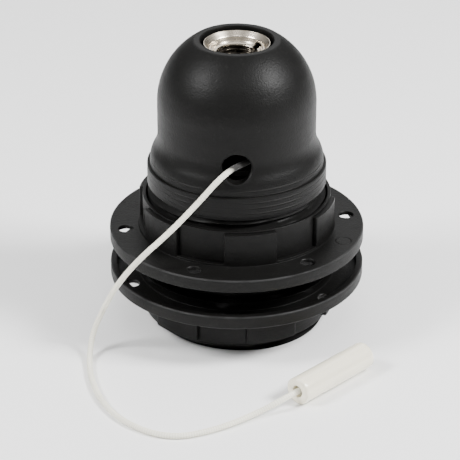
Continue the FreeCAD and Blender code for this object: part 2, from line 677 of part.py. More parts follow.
def make_return_spring():
    """The coil round the pin that brings the lever back."""
    helix = doc.addObject("Part::Helix", "spring_line")
    bind(helix, "Pitch", dim.spring_pitch)
    bind(helix, "Height", dim.spring_height)
    bind(helix, "Radius", dim.spring_radius)
    wire = doc.addObject("Part::Circle", "spring_wire")
    bind(wire, "Radius", dim.spring_wire_radius)
    place(wire, x=dim.spring_radius, tilt=((1, 0, 0), 90.0))
    coil = doc.addObject("Part::Sweep", "spring_coil")
    coil.Sections = [wire]
    coil.Spine = (helix, [])
    coil.Solid = True
    coil.Frenet = True
    place(coil, x=dim.pivot_x, y=dim.pivot_y, z=dim.frame_top + dim.spring_lift)
    return keep(coil, "return_spring"), []


def make_pull_lever():
    """The lever: a flat arm with a hub on the pin, and a bent tab with the cord's eye."""
    thickness = dim.lever_thickness
    tab_bottom = dim.frame_top + dim.tab_clearance - dim.lever_bottom
    hub = cylinder("lever_hub", dim.lever_hub_radius, thickness)
    arm = box("lever_arm_plate", dim.lever_arm + dim.tab_reach, dim.lever_width, thickness,
              y=dim.lever_width / -2)
    tab = box("lever_tab", dim.tab_reach * 2, thickness, -tab_bottom,
              x=dim.lever_arm - dim.tab_reach, y=thickness / -2, z=tab_bottom)
    bore = cylinder("lever_bore", dim.pivot_radius + dim.running_gap, thickness)
    eye = cylinder("lever_eye", dim.eye_radius, thickness, x=dim.lever_arm, y=thickness / 2,
                   z=dim.cord_height - dim.lever_bottom, tilt=((1, 0, 0), 90.0))
    lever = cut("lever_cut", fused("lever_blank", hub, arm, tab), bore, eye)
    place(lever, x=dim.pivot_x, y=dim.pivot_y, z=dim.lever_bottom, turn=dim.lever_turn)
    return keep(lever, "pull_lever"), []


def make_ratchet_wheel():
    """The wheel with saw teeth on its rim and a lobed cam on top."""
    body = new_body("ratchet_wheel")
    disc_sketch = new_sketch(body, "wheel_disc_sketch", "XY_Plane", 0.0)
    circle_outline(disc_sketch, 0.0, 0.0, dim.wheel_radius)
    pad(body, disc_sketch, "wheel_disc", dim.wheel_thickness)
    notch_sketch = new_sketch(body, "tooth_notch_sketch", "XY_Plane", 0.0)
    root = dim.wheel_radius - dim.tooth_depth
    outside = root + dim.notch_reach
    outline(notch_sketch, [(root, 0.0), (outside, dim.tooth_rake), (outside, dim.tooth_back)])
    notch = pocket(body, notch_sketch, "tooth_notch", dim.wheel_thickness, True)
    notches = around(body, notch, "tooth_notches", dim.tooth_count)
    cam_sketch = new_sketch(body, "cam_sketch", "XY_Plane", dim.wheel_thickness)
    circle_outline(cam_sketch, 0.0, 0.0, dim.cam_radius)
    pad(body, cam_sketch, "cam", dim.cam_thickness)
    lobe_sketch = new_sketch(body, "lobe_sketch", "XY_Plane", dim.wheel_thickness)
    circle_outline(lobe_sketch, dim.lobe_place, 0.0, dim.lobe_radius)
    lobe = pad(body, lobe_sketch, "lobe", dim.cam_thickness)
    around(body, lobe, "lobes", dim.lobe_count)
    bore_sketch = new_sketch(body, "wheel_bore_sketch", "XY_Plane", 0.0)
    circle_outline(bore_sketch, 0.0, 0.0, dim.pivot_radius + dim.running_gap)
    bore = pocket(body, bore_sketch, "wheel_bore", THROUGH, True)
    place(body, x=dim.pivot_x, y=dim.pivot_y, z=dim.wheel_bottom,
          turn=dim.wheel_turn)
    return keep(body, "ratchet_wheel"), [notch, notches, bore]


def make_contact_post():
    """The post that the moving contact turns on."""
    post = cylinder("post_shank", dim.post_radius, dim.pivot_top - dim.frame_bottom, x=dim.blade_x,
                    y=dim.blade_y, z=dim.frame_bottom)
    return keep(post, "contact_post"), []


def make_moving_contact():
    """The blade that the cam lifts: a hub on the post, and a strip along the wheel."""
    height, half_thickness = dim.blade_height, dim.blade_thickness / 2
    hub = cylinder("blade_hub", dim.blade_hub_radius, height)
    strip = box("blade_strip", dim.blade_thickness, dim.blade_length, height,
                x=-half_thickness, y=-dim.blade_length)
    button = cylinder("blade_button", dim.button_radius, dim.button_height, x=-half_thickness,
                      y=-dim.button_place, z=height / 2, tilt=((0, 1, 0), -90.0))
    bore = cylinder("blade_bore", dim.post_radius + dim.running_gap, height)
    blade = cut("blade_cut", fused("blade_blank", hub, strip, button), bore)
    place(blade, x=dim.blade_x, y=dim.blade_y,
          z=dim.wheel_bottom + dim.wheel_thickness + dim.blade_gap)
    return keep(blade, "moving_contact"), []


def make_fixed_contact():
    """The strip that the moving contact closes against."""
    top = dim.wheel_bottom + dim.wheel_thickness + dim.blade_gap + dim.blade_height
    strip = box("fixed_strip", dim.fixed_thickness, dim.fixed_width, top - dim.frame_top,
                x=dim.fixed_x, y=dim.fixed_y, z=dim.frame_top)
    return keep(strip, "fixed_contact"), []


# ---------------------------------------------------------------- cord and pull


def cord_path(points):
    """A wire of straight runs joined by tangent arcs, with its bend radii."""
    vectors = [FreeCAD.Vector(*point) for point in points]
    edges, radii = [], []
    start = vectors[0]
    for before, corner, after in zip(vectors, vectors[1:], vectors[2:]):
        back, onward = before - corner, after - corner
        half_turn = (math.pi - back.getAngle(onward)) / 2
        setback = ARC_SHARE * min(back.Length, onward.Length)
        radius = setback / math.tan(half_turn)
        entry = corner + back.normalize() * setback
        leave = corner + onward.normalize() * setback
        bisector = (back + onward).normalize()
        middle = corner + bisector * (radius / math.cos(half_turn) - radius)
        edges.append(Part.LineSegment(start, entry).toShape())
        edges.append(Part.Arc(entry, middle, leave).toShape())
        radii.append(radius)
        start = leave
    edges.append(Part.LineSegment(start, vectors[-1]).toShape())
    return Part.Wire(edges), radii


def make_pull_cord():
    """The cord: a plain round tube along its route."""
    path, radii = cord_path(CORD_ROUTE)
    along = path.Edges[0].tangentAt(0)
    radius = dim.cord_radius.value
    section = Part.Wire([Part.Circle(FreeCAD.Vector(*CORD_ROUTE[0]), along, radius).toShape()])
    solid = path.makePipeShell([section], True, True)
    expected = math.pi * radius ** 2 * path.Length
    print("cord length", round(path.Length, 2), "least bend radius", round(min(radii), 2))
    print("cord bend radii", [round(value, 1) for value in radii])
    print("cord volume over section times length", round(solid.Volume / expected, 4))
    cord = doc.addObject("Part::Feature", "pull_cord")
    cord.Shape = solid
    cord.Placement = FreeCAD.Placement()
    return keep(cord, "pull_cord"), []


def make_cord_ferrule():
    """The crimped ferrule that keeps the cord from slipping out of the lever's eye."""
    first, second = (FreeCAD.Vector(*point) for point in CORD_ROUTE[:2])
    along = (second - first).normalize()
    turn = math.degrees(math.atan2(along.y, along.x))
    tilt = ((0, 1, 0), 90.0)
    length = dim.ferrule_length
    outer = cylinder("ferrule_blank", dim.ferrule_radius, length, x=first.x, y=first.y, z=first.z, turn=turn,
                     tilt=tilt)
    bore = cylinder("ferrule_bore", dim.cord_radius, length, x=first.x, y=first.y, z=first.z,
                    turn=turn, tilt=tilt)
    return keep(cut("ferrule", outer, bore), "cord_ferrule"), []


def make_cord_pull():
    """The turned plastic pull that lies at the cord's free end, bored for the cord."""
    body = new_body("cord_pull")
    depth, edge, mouth = dim.pull_bore_depth, dim.pull_edge, dim.edge_break
    radius, length = dim.pull_radius, dim.pull_length
    turned(body, "pull_turned", [
        (0.0, depth), (dim.pull_bore, depth), (dim.pull_bore, mouth), (dim.pull_bore + mouth, 0.0),
        (radius - edge, 0.0, edge, 1), (radius, edge), (radius, length - edge, edge, 1),
        (radius - edge, length), (0.0, length),
    ])
    place(body, x=dim.pull_x, y=dim.pull_y, z=dim.pull_radius, turn=dim.pull_turn,
          tilt=((0, 1, 0), 90.0))
    return keep(body, "cord_pull"), []


# ---------------------------------------------------------------- build, check, write


def check_cuts(features):
    """Stop if a cut took nothing away from the feature before it."""
    for feature in features:
        base = feature.BaseFeature
        if base is not None and feature.Shape.Volume >= base.Shape.Volume - 1e-6:
            raise RuntimeError(f"{feature.Name} cuts nothing")


def check_objects():
    """Stop if any object failed, or any sub-part has no valid shape."""
    for item in doc.Objects:
        if {"Invalid", "Error"} & set(item.State):
            raise RuntimeError(f"{item.Name} failed: {item.State}")
    for item in subparts:
        if item.Shape.isNull() or not item.Shape.isValid() or not item.Shape.Solids:
            raise RuntimeError(f"{item.Label} has no valid solid")


def main():
    """Build every sub-part, check it and write it as STEP."""
    makers = [
        make_threaded_sleeve, make_cap, make_entry_bush, make_entry_lock_screw,
        lambda: make_shade_ring("upper_shade_ring", dim.upper_ring_height, dim.upper_ring_turn, False),
        lambda: make_shade_ring("lower_shade_ring", dim.lower_ring_height, dim.lower_ring_turn, True),
        make_contact_block, make_screw_shell, make_shell_rivets, make_contact_rivet,
        make_centre_contact, lambda: make_terminal("left", -1), lambda: make_terminal("right", 1),
        make_switch_frame, make_frame_screws, make_lever_pin, make_return_spring,
        make_pull_lever, make_ratchet_wheel, make_contact_post, make_moving_contact,
        make_fixed_contact, make_pull_cord, make_cord_ferrule, make_cord_pull,
    ]
    cuts = []
    for maker in makers:
        cuts.extend(maker()[1])
    doc.recompute()
    check_objects()
    check_cuts(cuts)
    os.makedirs(OUT_FOLDER, exist_ok=True)
    for item in subparts:
        item.Shape.exportStep(os.path.join(OUT_FOLDER, f"{item.Label}.step"))
    print(len(subparts), "sub-parts written")


main()
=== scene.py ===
"""Pull-switch lamp holder: moulded cap, threaded skirt, two shade rings, metal entry and pull cord.

Metres and +Z up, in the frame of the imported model. Outlines are written in millimetres, as a maker
draws them, and are scaled once, where a mesh is made.
"""

import json
import logging
import math
from dataclasses import dataclass, field
from enum import Enum
from typing import Callable, Sequence

import bpy
import numpy as np
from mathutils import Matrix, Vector


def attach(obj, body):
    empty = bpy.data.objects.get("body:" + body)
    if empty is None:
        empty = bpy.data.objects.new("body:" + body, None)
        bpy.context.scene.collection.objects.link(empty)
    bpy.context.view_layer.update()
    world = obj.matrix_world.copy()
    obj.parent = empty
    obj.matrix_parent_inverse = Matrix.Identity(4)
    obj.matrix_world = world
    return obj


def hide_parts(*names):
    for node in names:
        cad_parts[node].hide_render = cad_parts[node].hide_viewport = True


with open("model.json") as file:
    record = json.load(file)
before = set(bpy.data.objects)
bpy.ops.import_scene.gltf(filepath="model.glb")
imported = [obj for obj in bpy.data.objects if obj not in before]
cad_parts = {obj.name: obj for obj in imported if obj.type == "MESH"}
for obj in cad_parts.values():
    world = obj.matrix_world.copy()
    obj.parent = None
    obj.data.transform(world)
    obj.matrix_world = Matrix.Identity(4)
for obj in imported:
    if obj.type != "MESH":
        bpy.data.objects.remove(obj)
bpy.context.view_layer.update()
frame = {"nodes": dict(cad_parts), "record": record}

MM = 0.001
SHARP_EDGE = math.radians(38.0)
FULL_TURN = 2 * math.pi
CORNER_POINTS = 4

log = logging.getLogger("lamp_holder")

Array = np.ndarray


# ---------------- outlines and meshes


@dataclass(frozen=True)
class Stop:
    """One corner of an outline in the (radius, height) half-plane, in millimetres.

    soft is how far from the corner its rounding begins. arc is the radius of the arc that leads to
    the next stop, positive with its centre on the left of the way. steps is the number of parts
    that the way to the next stop is divided into.
    """

    r: float
    z: float
    soft: float = 0.0
    arc: float = 0.0
    steps: int = 1


def arc_points(start: Array, end: Array, radius: float, steps: int) -> Array:
    """Points of a minor arc: centre + radius * (cos, sin) of evenly spaced angles.

    Args:
        start: first point, left out of the result.
        end: last point, left out of the result.
        radius: signed radius, positive with the centre on the left of the way.
        steps: number of parts.

    Returns:
        The points between start and end.
    """
    side, radius = math.copysign(1.0, radius), abs(radius)
    chord = end - start
    half = math.hypot(*chord) / 2
    left = np.array([-chord[1], chord[0]]) / (2 * half)
    centre = (start + end) / 2 + left * side * math.sqrt(radius**2 - half**2)
    first = math.atan2(start[1] - centre[1], start[0] - centre[0])
    angles = first + side * 2 * math.asin(half / radius) * np.arange(1, steps) / steps
    return centre + radius * np.stack([np.cos(angles), np.sin(angles)], axis=-1)


def traced(stops: Sequence[Stop]) -> tuple[Array, list[int]]:
    """Turn the stops of an outline into its points.

    A softened corner is the quadratic curve (1-t)^2 a + 2t(1-t) corner + t^2 b between the points a
    and b that lie soft away from the corner on its two sides.

    Args:
        stops: the corners, with the outside of the piece going up.

    Returns:
        Points of shape (rows, 2), and the row at which each stop's corner ends.
    """
    corners = np.array([(stop.r, stop.z) for stop in stops])
    share = np.linspace(0.0, 1.0, CORNER_POINTS)[:, None]
    parts: list[Array] = []
    marks: list[int] = []
    for number, stop in enumerate(stops):
        here, before, after = corners[number], corners[number - 1], corners[(number + 1) % len(stops)]
        if stop.soft:
            start = here + (before - here) * stop.soft / np.hypot(*(before - here))
            end = here + (after - here) * stop.soft / np.hypot(*(after - here))
            parts.append((1 - share) ** 2 * start + 2 * share * (1 - share) * here + share**2 * end)
        else:
            parts.append(here[None, :])
        marks.append(sum(map(len, parts)) - 1)
        if stop.arc:
            parts.append(arc_points(here, after, stop.arc, stop.steps))
        elif stop.steps > 1:
            first = parts[-1][-1]
            parts.append(first + (after - first) * np.arange(1, stop.steps)[:, None] / stop.steps)
    return np.concatenate(parts), marks


def carried_round(radii: Array, heights: Array, angles: Array) -> Array:
    """Grid of points (r cos a, r sin a, z) of shape (rows, columns, 3), with one angle a column."""
    radii, heights, turn = np.broadcast_arrays(radii, heights, angles[None, :])
    return np.stack([radii * np.cos(turn), radii * np.sin(turn), heights], axis=-1)


def even_angles(count: int) -> Array:
    """Angles of columns that stand evenly round the axis, in radians."""
    return FULL_TURN * np.arange(count) / count


def between(first: Array, second: Array, share: Array) -> tuple[Array, Array]:
    """Radii and heights of an outline that passes from first to second by each column's share."""
    change = second - first
    return first[:, :1] + change[:, :1] * share, first[:, 1:] + change[:, 1:] * share


def faded(heights: Array, low: float, high: float, length: float) -> Array:
    """Share that is 1 between low and high, and falls to 0 within a length of either."""
    return np.clip((heights - low) / length, 0, 1) * np.clip((high - heights) / length, 0, 1)


def turned(points: Array, degrees: float) -> Array:
    """Turn points about the Z axis: x' = x cos a - y sin a, y' = x sin a + y cos a."""
    cos, sin = math.cos(math.radians(degrees)), math.sin(math.radians(degrees))
    return points @ np.array([[cos, sin, 0.0], [-sin, cos, 0.0], [0.0, 0.0, 1.0]])


@dataclass(frozen=True)
class Thread:
    """A right-hand screw thread with flat crests and roots, and straight flanks between them."""

    pitch: float
    crest: float = 0.22
    root: float = 0.22

    def depth(self, heights: Array, angles: Array) -> Array:
        """Depth below the crest, as a share: its phase is z / pitch - angle / full turn.

        Args:
            heights: heights in millimetres.
            angles: angles in radians.

        Returns:
            0 on the crest, 1 in the root, with rounded changes between them.
        """
        phase = np.mod(heights / self.pitch - angles / FULL_TURN, 1.0)
        stations = [0.0, self.crest / 2, 0.5 - self.root / 2, 0.5 + self.root / 2, 1 - self.crest / 2, 1.0]
        depth = np.interp(phase, stations, [0.0, 0.0, 1.0, 1.0, 0.0, 0.0])
        return depth * depth * (3 - 2 * depth)


def span(start: int, end: int) -> Array:
    """Whole numbers from start towards end, without the end."""
    return np.arange(start, end, 1 if end > start else -1)


@dataclass(frozen=True)
class Block:
    """A block of a grid's quads: its first and last row, in either order, and its columns."""

    rows: tuple[int, int]
    columns: tuple[int, int]

    def border(self, numbers: Array) -> Array:
        """Loop round the block: along the first row, over to the last, back along it, and home.

        Args:
            numbers: the grid's point numbers.

        Returns:
            The loop's point numbers.
        """
        (low, high), (left, right) = self.rows, self.columns
        width = numbers.shape[1]
        return np.concatenate([
            numbers[low, span(left, right) % width], numbers[span(low, high), right % width],
            numbers[high, span(right, left) % width], numbers[span(high, low), left % width],
        ])

    def clear(self, kept: Array) -> None:
        """Mark the block's quads as left out."""
        columns = span(*self.columns) % kept.shape[1]
        kept[min(self.rows):max(self.rows), columns] = False


@dataclass(frozen=True)
class RoundHole:
    """A round hole in its own plane, and the ways from a surface to that plane and back."""

    centre: tuple[float, float]
    radius: float
    flatten: Callable[[Array], Array]
    lift: Callable[[Array], Array]
    rings: int = 3

    def circle(self, bearings: Array) -> Array:
        """Points of the hole's edge in its plane: centre + radius * (cos, sin)."""
        return np.array(self.centre) + self.radius * np.stack([np.cos(bearings), np.sin(bearings)], axis=-1)


class Shell:
    """The points and faces of one piece, gathered grid by grid, in millimetres."""

    def __init__(self) -> None:
        """Start with no points."""
        self.points: list[Array] = []
        self.quads: list[Array] = []
        self.lids: list[Array] = []
        self.count = 0

    def add(self, grid: Array) -> Array:
        """Add a grid of points.

        Args:
            grid: points of shape (..., 3).

        Returns:
            The points' numbers in the same shape, without the last axis.
        """
        numbers = self.count + np.arange(grid[..., 0].size).reshape(grid.shape[:-1])
        self.points.append(grid.reshape(-1, 3))
        self.count += numbers.size
        return numbers

    def at(self, numbers: Array) -> Array:
        """Return the points of some numbers."""
        return np.concatenate(self.points)[numbers]

    def strip(self, first: Array, second: Array, flip: bool = False) -> None:
        """Join an anticlockwise loop to an equal one within or below it; flip turns the faces over."""
        quads = np.stack([first, np.roll(first, -1), np.roll(second, -1), second], axis=-1)
        self.quads.append(quads[:, ::-1] if flip else quads)

    def skin(self, numbers: Array, openings: Sequence[Block] = (), closed: bool = True) -> None:
        """Cover a grid whose columns close on themselves, leaving some blocks open.

        Args:
            numbers: grid of point numbers, rows along the outline and columns round the axis.
            openings: blocks to leave out.
            closed: whether the last row joins the first.
        """
        right = np.roll(numbers, -1, axis=1)
        quads = np.stack([numbers, right, np.roll(right, -1, axis=0), np.roll(numbers, -1, axis=0)], axis=-1)
        kept = np.ones(numbers.shape, bool)
        kept[-1] = closed
        for opening in openings:
            opening.clear(kept)
        self.quads.append(quads[kept])

    def lid(self, loop: Array) -> None:
        """Close an anticlockwise loop with one flat face."""
        self.lids.append(loop)

    def tube(self, grid: Array) -> None:
        """Cover an open tube and close both of its ends.

        Args:
            grid: its points, rows along it and columns round it.
        """
        numbers = self.add(grid)
        self.skin(numbers, closed=False)
        self.lid(numbers[-1])
        self.lid(numbers[0][::-1])

    def narrow(self, border: Array, hole: RoundHole, bearings: Array | None = None,
               inside: bool = False) -> tuple[Array, Array]:
        """Fill the space between a block's border and a round hole in it.

        Ring k of n lies at border + (circle - border) * k / n in the hole's plane, and is lifted
        from there onto the surface.

        Args:
            border: loop of numbers round the block.
            hole: the hole.
            bearings: angles of the hole's points, or None to take them from the border.
            inside: whether the surface is an inside, whose faces are turned over.

        Returns:
            The numbers of the hole's edge, and its bearings.
        """
        flat = hole.flatten(self.at(border))
        if bearings is None:
            bearings = np.arctan2(flat[:, 1] - hole.centre[1], flat[:, 0] - hole.centre[0])
        share = (np.arange(1, hole.rings + 1) / hole.rings)[:, None, None]
        loops = self.add(hole.lift(flat + (hole.circle(bearings) - flat) * share))
        for outer, inner in zip([border, *loops], loops):
            self.strip(outer, inner, inside)
        return loops[-1], bearings

    def mesh(self, name: str) -> bpy.types.Mesh:
        """Make the mesh: unused points dropped, millimetres scaled to metres, faces smooth.

        Args:
            name: the mesh's name.

        Returns:
            The new mesh.
        """
        quads = np.concatenate(self.quads)
        loops = np.concatenate([quads.ravel(), *self.lids])
        sizes = np.concatenate([np.full(len(quads), 4), [len(lid) for lid in self.lids]]).astype(int)
        used, corners = np.unique(loops, return_inverse=True)
        mesh = bpy.data.meshes.new(name)
        mesh.vertices.add(len(used))
        mesh.vertices.foreach_set("co", (np.concatenate(self.points)[used] * MM).ravel())
        mesh.loops.add(len(loops))
        mesh.loops.foreach_set("vertex_index", corners.ravel())
        mesh.polygons.add(len(sizes))
        mesh.polygons.foreach_set("loop_start", np.concatenate([[0], np.cumsum(sizes)[:-1]]))
        mesh.polygons.foreach_set("use_smooth", np.ones(len(sizes), bool))
        mesh.update(calc_edges=True)
        mesh.validate()
        mesh.set_sharp_from_angle(angle=SHARP_EDGE)
        return mesh


# ---------------- shader tools


def operator(operation: str, swapped: bool = False) -> Callable[["Socket", "float | Socket"], "Socket"]:
    """Make an operator of Socket that adds a Math node.

    Args:
        operation: the node's operation.
        swapped: whether the socket is the second of the two values.

    Returns:
        The operator.
    """
    def method(self: "Socket", other: "float | Socket") -> "Socket":
        """Return the operation's result."""
        return self.math(operation, *((other, self) if swapped else (self, other)))

    return method


class Socket:
    """A shader socket that adds Math nodes when it is used in an expression."""

    def __init__(self, paint: "Paint", link: bpy.types.NodeSocket) -> None:
        """Keep the socket and the material that it belongs to."""
        self.paint = paint
        self.link = link

    def math(self, operation: str, *values: "float | Socket") -> "Socket":
        """Add a Math node of an operation with these numbers or sockets, and return its result."""
        return self.paint.node("ShaderNodeMath", {"operation": operation}, dict(enumerate(values)))

    __add__, __radd__ = operator("ADD"), operator("ADD", swapped=True)
    __sub__, __rsub__ = operator("SUBTRACT"), operator("SUBTRACT", swapped=True)
    __mul__, __truediv__, __pow__ = operator("MULTIPLY"), operator("DIVIDE"), operator("POWER")

    def size(self) -> "Socket":
        """Absolute value."""
        return self.math("ABSOLUTE", self)

    def wave(self) -> "Socket":
        """Sine of the value in radians."""
        return self.math("SINE", self)

    def rise(self, low: float, high: float) -> "Socket":
        """Smooth step from 0 at low to 1 at high; high may be the smaller of the two."""
        step = self.paint.node("ShaderNodeMapRange", {"interpolation_type": "SMOOTHSTEP"},
                               {0: self, 1: min(low, high), 2: max(low, high)})
        return step if low < high else 1 - step


class Paint:
    """One material's node tree, with the object's own coordinates at hand."""

    def __init__(self, name: str) -> None:
        """Make the material with an empty tree.

        Args:
            name: the material's name.
        """
        self.material = bpy.data.materials.new(name)
        self.material.use_nodes = True
        self.tree = self.material.node_tree
        self.tree.nodes.clear()
        self.place = self.node("ShaderNodeTexCoord", output="Object")
        self.x, self.y, self.z = self.parts(self.place)

    def node(self, kind: str, settings: dict | None = None, inputs: dict | None = None,
             output: str | int = 0) -> Socket:
        """Add a node of any type.

        Args:
            kind: the node's type.
            settings: attributes, set before the sockets.
            inputs: values or sockets, by input name or number.
            output: name or number of the output to return.

        Returns:
            The chosen output.
        """
        made = self.tree.nodes.new(kind)
        for name, value in (settings or {}).items():
            setattr(made, name, value)
        for name, value in (inputs or {}).items():
            if isinstance(value, Socket):
                self.tree.links.new(value.link, made.inputs[name])
            else:
                made.inputs[name].default_value = value
        return Socket(self, made.outputs[output] if made.outputs else None)

    def parts(self, vector: Socket) -> tuple[Socket, Socket, Socket]:
        """Split a vector into its three parts."""
        made = self.node("ShaderNodeSeparateXYZ", {}, {0: vector})
        return tuple(Socket(self, output) for output in made.link.node.outputs)

    def radius(self, x: float = 0.0, y: float = 0.0) -> Socket:
        """Distance in metres from the vertical line through (x, y)."""
        return ((self.x - x) ** 2 + (self.y - y) ** 2) ** 0.5

    def noise(self, scale: float, detail: float = 2.0, place: Socket | None = None) -> Socket:
        """Smooth noise between about 0 and 1, with scale patches per metre and detail octaves."""
        inputs = {"Vector": place or self.place, "Scale": scale, "Detail": detail}
        return self.node("ShaderNodeTexNoise", {}, inputs, "Fac")

    def joined(self, x: "float | Socket", y: "float | Socket", z: "float | Socket") -> Socket:
        """Make a vector of three parts."""
        return self.node("ShaderNodeCombineXYZ", {}, {0: x, 1: y, 2: z})

    def blend(self, share: Socket, first: "tuple | Socket", second: "tuple | Socket") -> Socket:
        """Mix two colours: first where share is 0, second where it is 1."""
        return self.node("ShaderNodeMix", {"data_type": "RGBA"}, {0: share, 6: first, 7: second}, 2)

    def bump(self, height: Socket, distance: float, under: Socket | None = None) -> Socket:
        """Normal of a surface raised by distance metres where height is 1, on top of the normal under."""
        inputs = {"Height": height, "Distance": distance} | ({"Normal": under} if under else {})
        return self.node("ShaderNodeBump", {}, inputs)

    def finish(self, inputs: dict) -> bpy.types.Material:
        """Close the tree with the surface shader.

        Args:
            inputs: values or sockets of the Principled shader, by name.

        Returns:
            The finished material.
        """
        shader = self.node("ShaderNodeBsdfPrincipled", {}, inputs)
        self.node("ShaderNodeOutputMaterial", {}, {"Surface": shader})
        return self.material


def grey(level: float, warmth: float = 0.0) -> tuple[float, float, float, float]:
    """A warm grey: (level * (1 + warmth / 3), level, level * (1 - warmth), 1)."""
    return level * (1 + warmth / 3), level, level * (1 - warmth), 1.0


PLASTIC_IOR, COAT_ROUGHNESS = 1.52, 0.12
FLECK_LIFT, PALEST = 1.9, 0.9
DARK_PLASTIC, DARK_FLECKS, PALE_FLECKS = 0.1, 0.5, 0.1
FLOW_DEPTH, MARK_DEPTH = 0.00012, 0.00010
TURN_FADE = 0.0004
PIN_RADIUS, PIN_LINE = 0.0017, 0.00018
EDGE_HIGHLIGHT_COLOUR, EDGE_HIGHLIGHT_WIDTH = grey(0.024), (0.00034, 0.00016)
BORE_SHADE_COLOUR = (0.05, 0.042, 0.033, 1.0)
# Painted shade: colour and reach of the darkened cord end inside the cap.
CAP_SHADOW_COLOUR = (0.010, 0.009, 0.008, 1.0)
SHADOWED_WITHIN, SHADOWED_ABOVE = (0.0194, 0.0182), (0.036, 0.038)


@dataclass(frozen=True)
class Moulded:
    """Moulded plastic with a fine satin grain and faint flow marks.

    turns is the belt of turned lines: its lowest and highest height and their pitch. pin_mark is the
    middle of an ejector pin's mark. highlighted_edges lists edges with a painted highlight, a pale
    line by radius and height. All are in millimetres.
    """

    name: str
    dark: float
    pale: float
    warmth: float
    roughness: float
    spread: float = 0.10
    grain: float = 2700.0
    relief: float = 0.00006
    coat: float = 0.0
    gloss: float = 0.5
    turns: tuple[float, float, float] | None = None
    pin_mark: tuple[float, float, float] | None = None
    highlighted_edges: tuple[tuple[float, float], ...] = ()

    def paint(self) -> bpy.types.Material:
        """Make the material: grain, flecks, flow marks, handled patches, raised marks and painted highlights
        on edges.

        Returns:
            The finished material.
        """
        paint = Paint(self.name)
        flow = paint.noise(95.0, 3.0, paint.joined(paint.x, paint.y, paint.z * 3.5))
        grain = paint.noise(self.grain, 3.0)
        specks = paint.noise(self.grain * 0.42, 1.0).rise(0.62, 0.80)
        handled = paint.noise(420.0, 4.0).rise(0.56, 0.74)
        colour = paint.blend(flow, grey(self.dark, self.warmth), grey(self.pale, self.warmth))
        fleck = grey(min(self.pale * FLECK_LIFT, PALEST), self.warmth)
        share = DARK_FLECKS if self.pale < DARK_PLASTIC else PALE_FLECKS
        colour = paint.blend(specks * share, colour, fleck)
        roughness = self.roughness + (grain - 0.5) * self.spread + handled * 0.05
        normal = paint.bump(flow, FLOW_DEPTH, paint.bump(grain, self.relief))
        for mark, share, lift in self.marks(paint):
            colour = paint.blend(mark * share, colour, grey(self.pale * lift, self.warmth))
            normal = paint.bump(mark, MARK_DEPTH, normal)
        # Painted highlight: a pale line along each listed edge, in patches, stands in for the light caught
        # on its bevel.
        for reach, height in self.highlighted_edges:
            off = ((paint.radius() - reach * MM) ** 2 + (paint.z - height * MM) ** 2) ** 0.5
            edge = off.rise(*EDGE_HIGHLIGHT_WIDTH) * paint.noise(140.0, 2.0).rise(0.25, 0.6)
            colour = paint.blend(edge, colour, EDGE_HIGHLIGHT_COLOUR)
        return paint.finish({
            "Base Color": colour, "Roughness": roughness, "Normal": normal, "IOR": PLASTIC_IOR,
            "Coat Weight": self.coat, "Coat Roughness": COAT_ROUGHNESS, "Specular IOR Level": self.gloss,
        })

    def marks(self, paint: Paint) -> list[tuple[Socket, float, float]]:
        """Find the raised marks: turned lines, sin(2 pi z / pitch), worn off in patches, and a pin's circle.

        Args:
            paint: the material.

        Returns:
            For each mark its height between 0 and 1, how much its colour shows and how pale that is.
        """
        marks = []
        if self.turns:
            low, high, pitch = (part * MM for part in self.turns)
            half = (high - low) / 2
            belt = (paint.z - (low + high) / 2).size().rise(half, half - TURN_FADE)
            worn = paint.noise(75.0, 2.0, paint.joined(paint.x, paint.y, paint.z * 0.2)).rise(0.35, 0.62)
            marks.append(((paint.z * (FULL_TURN / pitch)).wave().rise(0.45, 1.0) * belt * worn, 0.5, 2.4))
        if self.pin_mark:
            x, y, top = (part * MM for part in self.pin_mark)
            circle = (paint.radius(x, y) - PIN_RADIUS).size().rise(PIN_LINE, 0.0)
            marks.append((circle * (paint.z - top).size().rise(0.0004, 0.0002), 0.35, 2.2))
        return marks


class Grain(Enum):
    """How a metal's fine marks run."""

    TURNED = "turned about the axis"
    ROLLED = "rolled along the sheet"


@dataclass(frozen=True)
class Metal:
    """Bare or plated metal with the fine marks of its making.

    hollows lists bores painted dark as shade: x, y, the radius and the height below which they are dark, in
    millimetres.
    """

    name: str
    colour: tuple[float, float, float]
    roughness: float
    grain: Grain
    dulled: float = 0.35
    marks: float = 9000.0
    relief: float = 0.000006
    hollows: tuple[tuple[float, float, float, float], ...] = ()

    def paint(self) -> bpy.types.Material:
        """Make the material: noise drawn out along the marks, dulled patches, and bores painted dark as
        shade.

        Returns:
            The finished material.
        """
        paint = Paint(self.name)
        if self.grain is Grain.TURNED:
            along = paint.joined(paint.radius(), paint.z, paint.x * 0.01)
        else:
            along = paint.joined(paint.x * 0.05, paint.y, paint.z)
        marks = paint.noise(self.marks, 2.0, along)
        patches = paint.noise(260.0, 4.0)
        dull = tuple(part * (1 - self.dulled) for part in self.colour)
        colour = paint.blend(patches.rise(0.42, 0.72), (*self.colour, 1.0), (*dull, 1.0))
        roughness = self.roughness + (marks - 0.5) * 0.16 + patches.rise(0.45, 0.7) * 0.08
        # Painted shade: inside each listed bore, below its height, the colour is darkened.
        for x, y, reach, top in self.hollows:
            deep = (paint.z - top * MM).rise(0.0, -0.0010)
            within = (paint.radius(x * MM, y * MM) - reach * MM).rise(0.0004, 0.0)
            colour = paint.blend(deep * within * 0.95, colour, BORE_SHADE_COLOUR)
        return paint.finish({
            "Base Color": colour, "Metallic": 1.0, "Roughness": roughness,
            "Normal": paint.bump(marks, self.relief),
        })


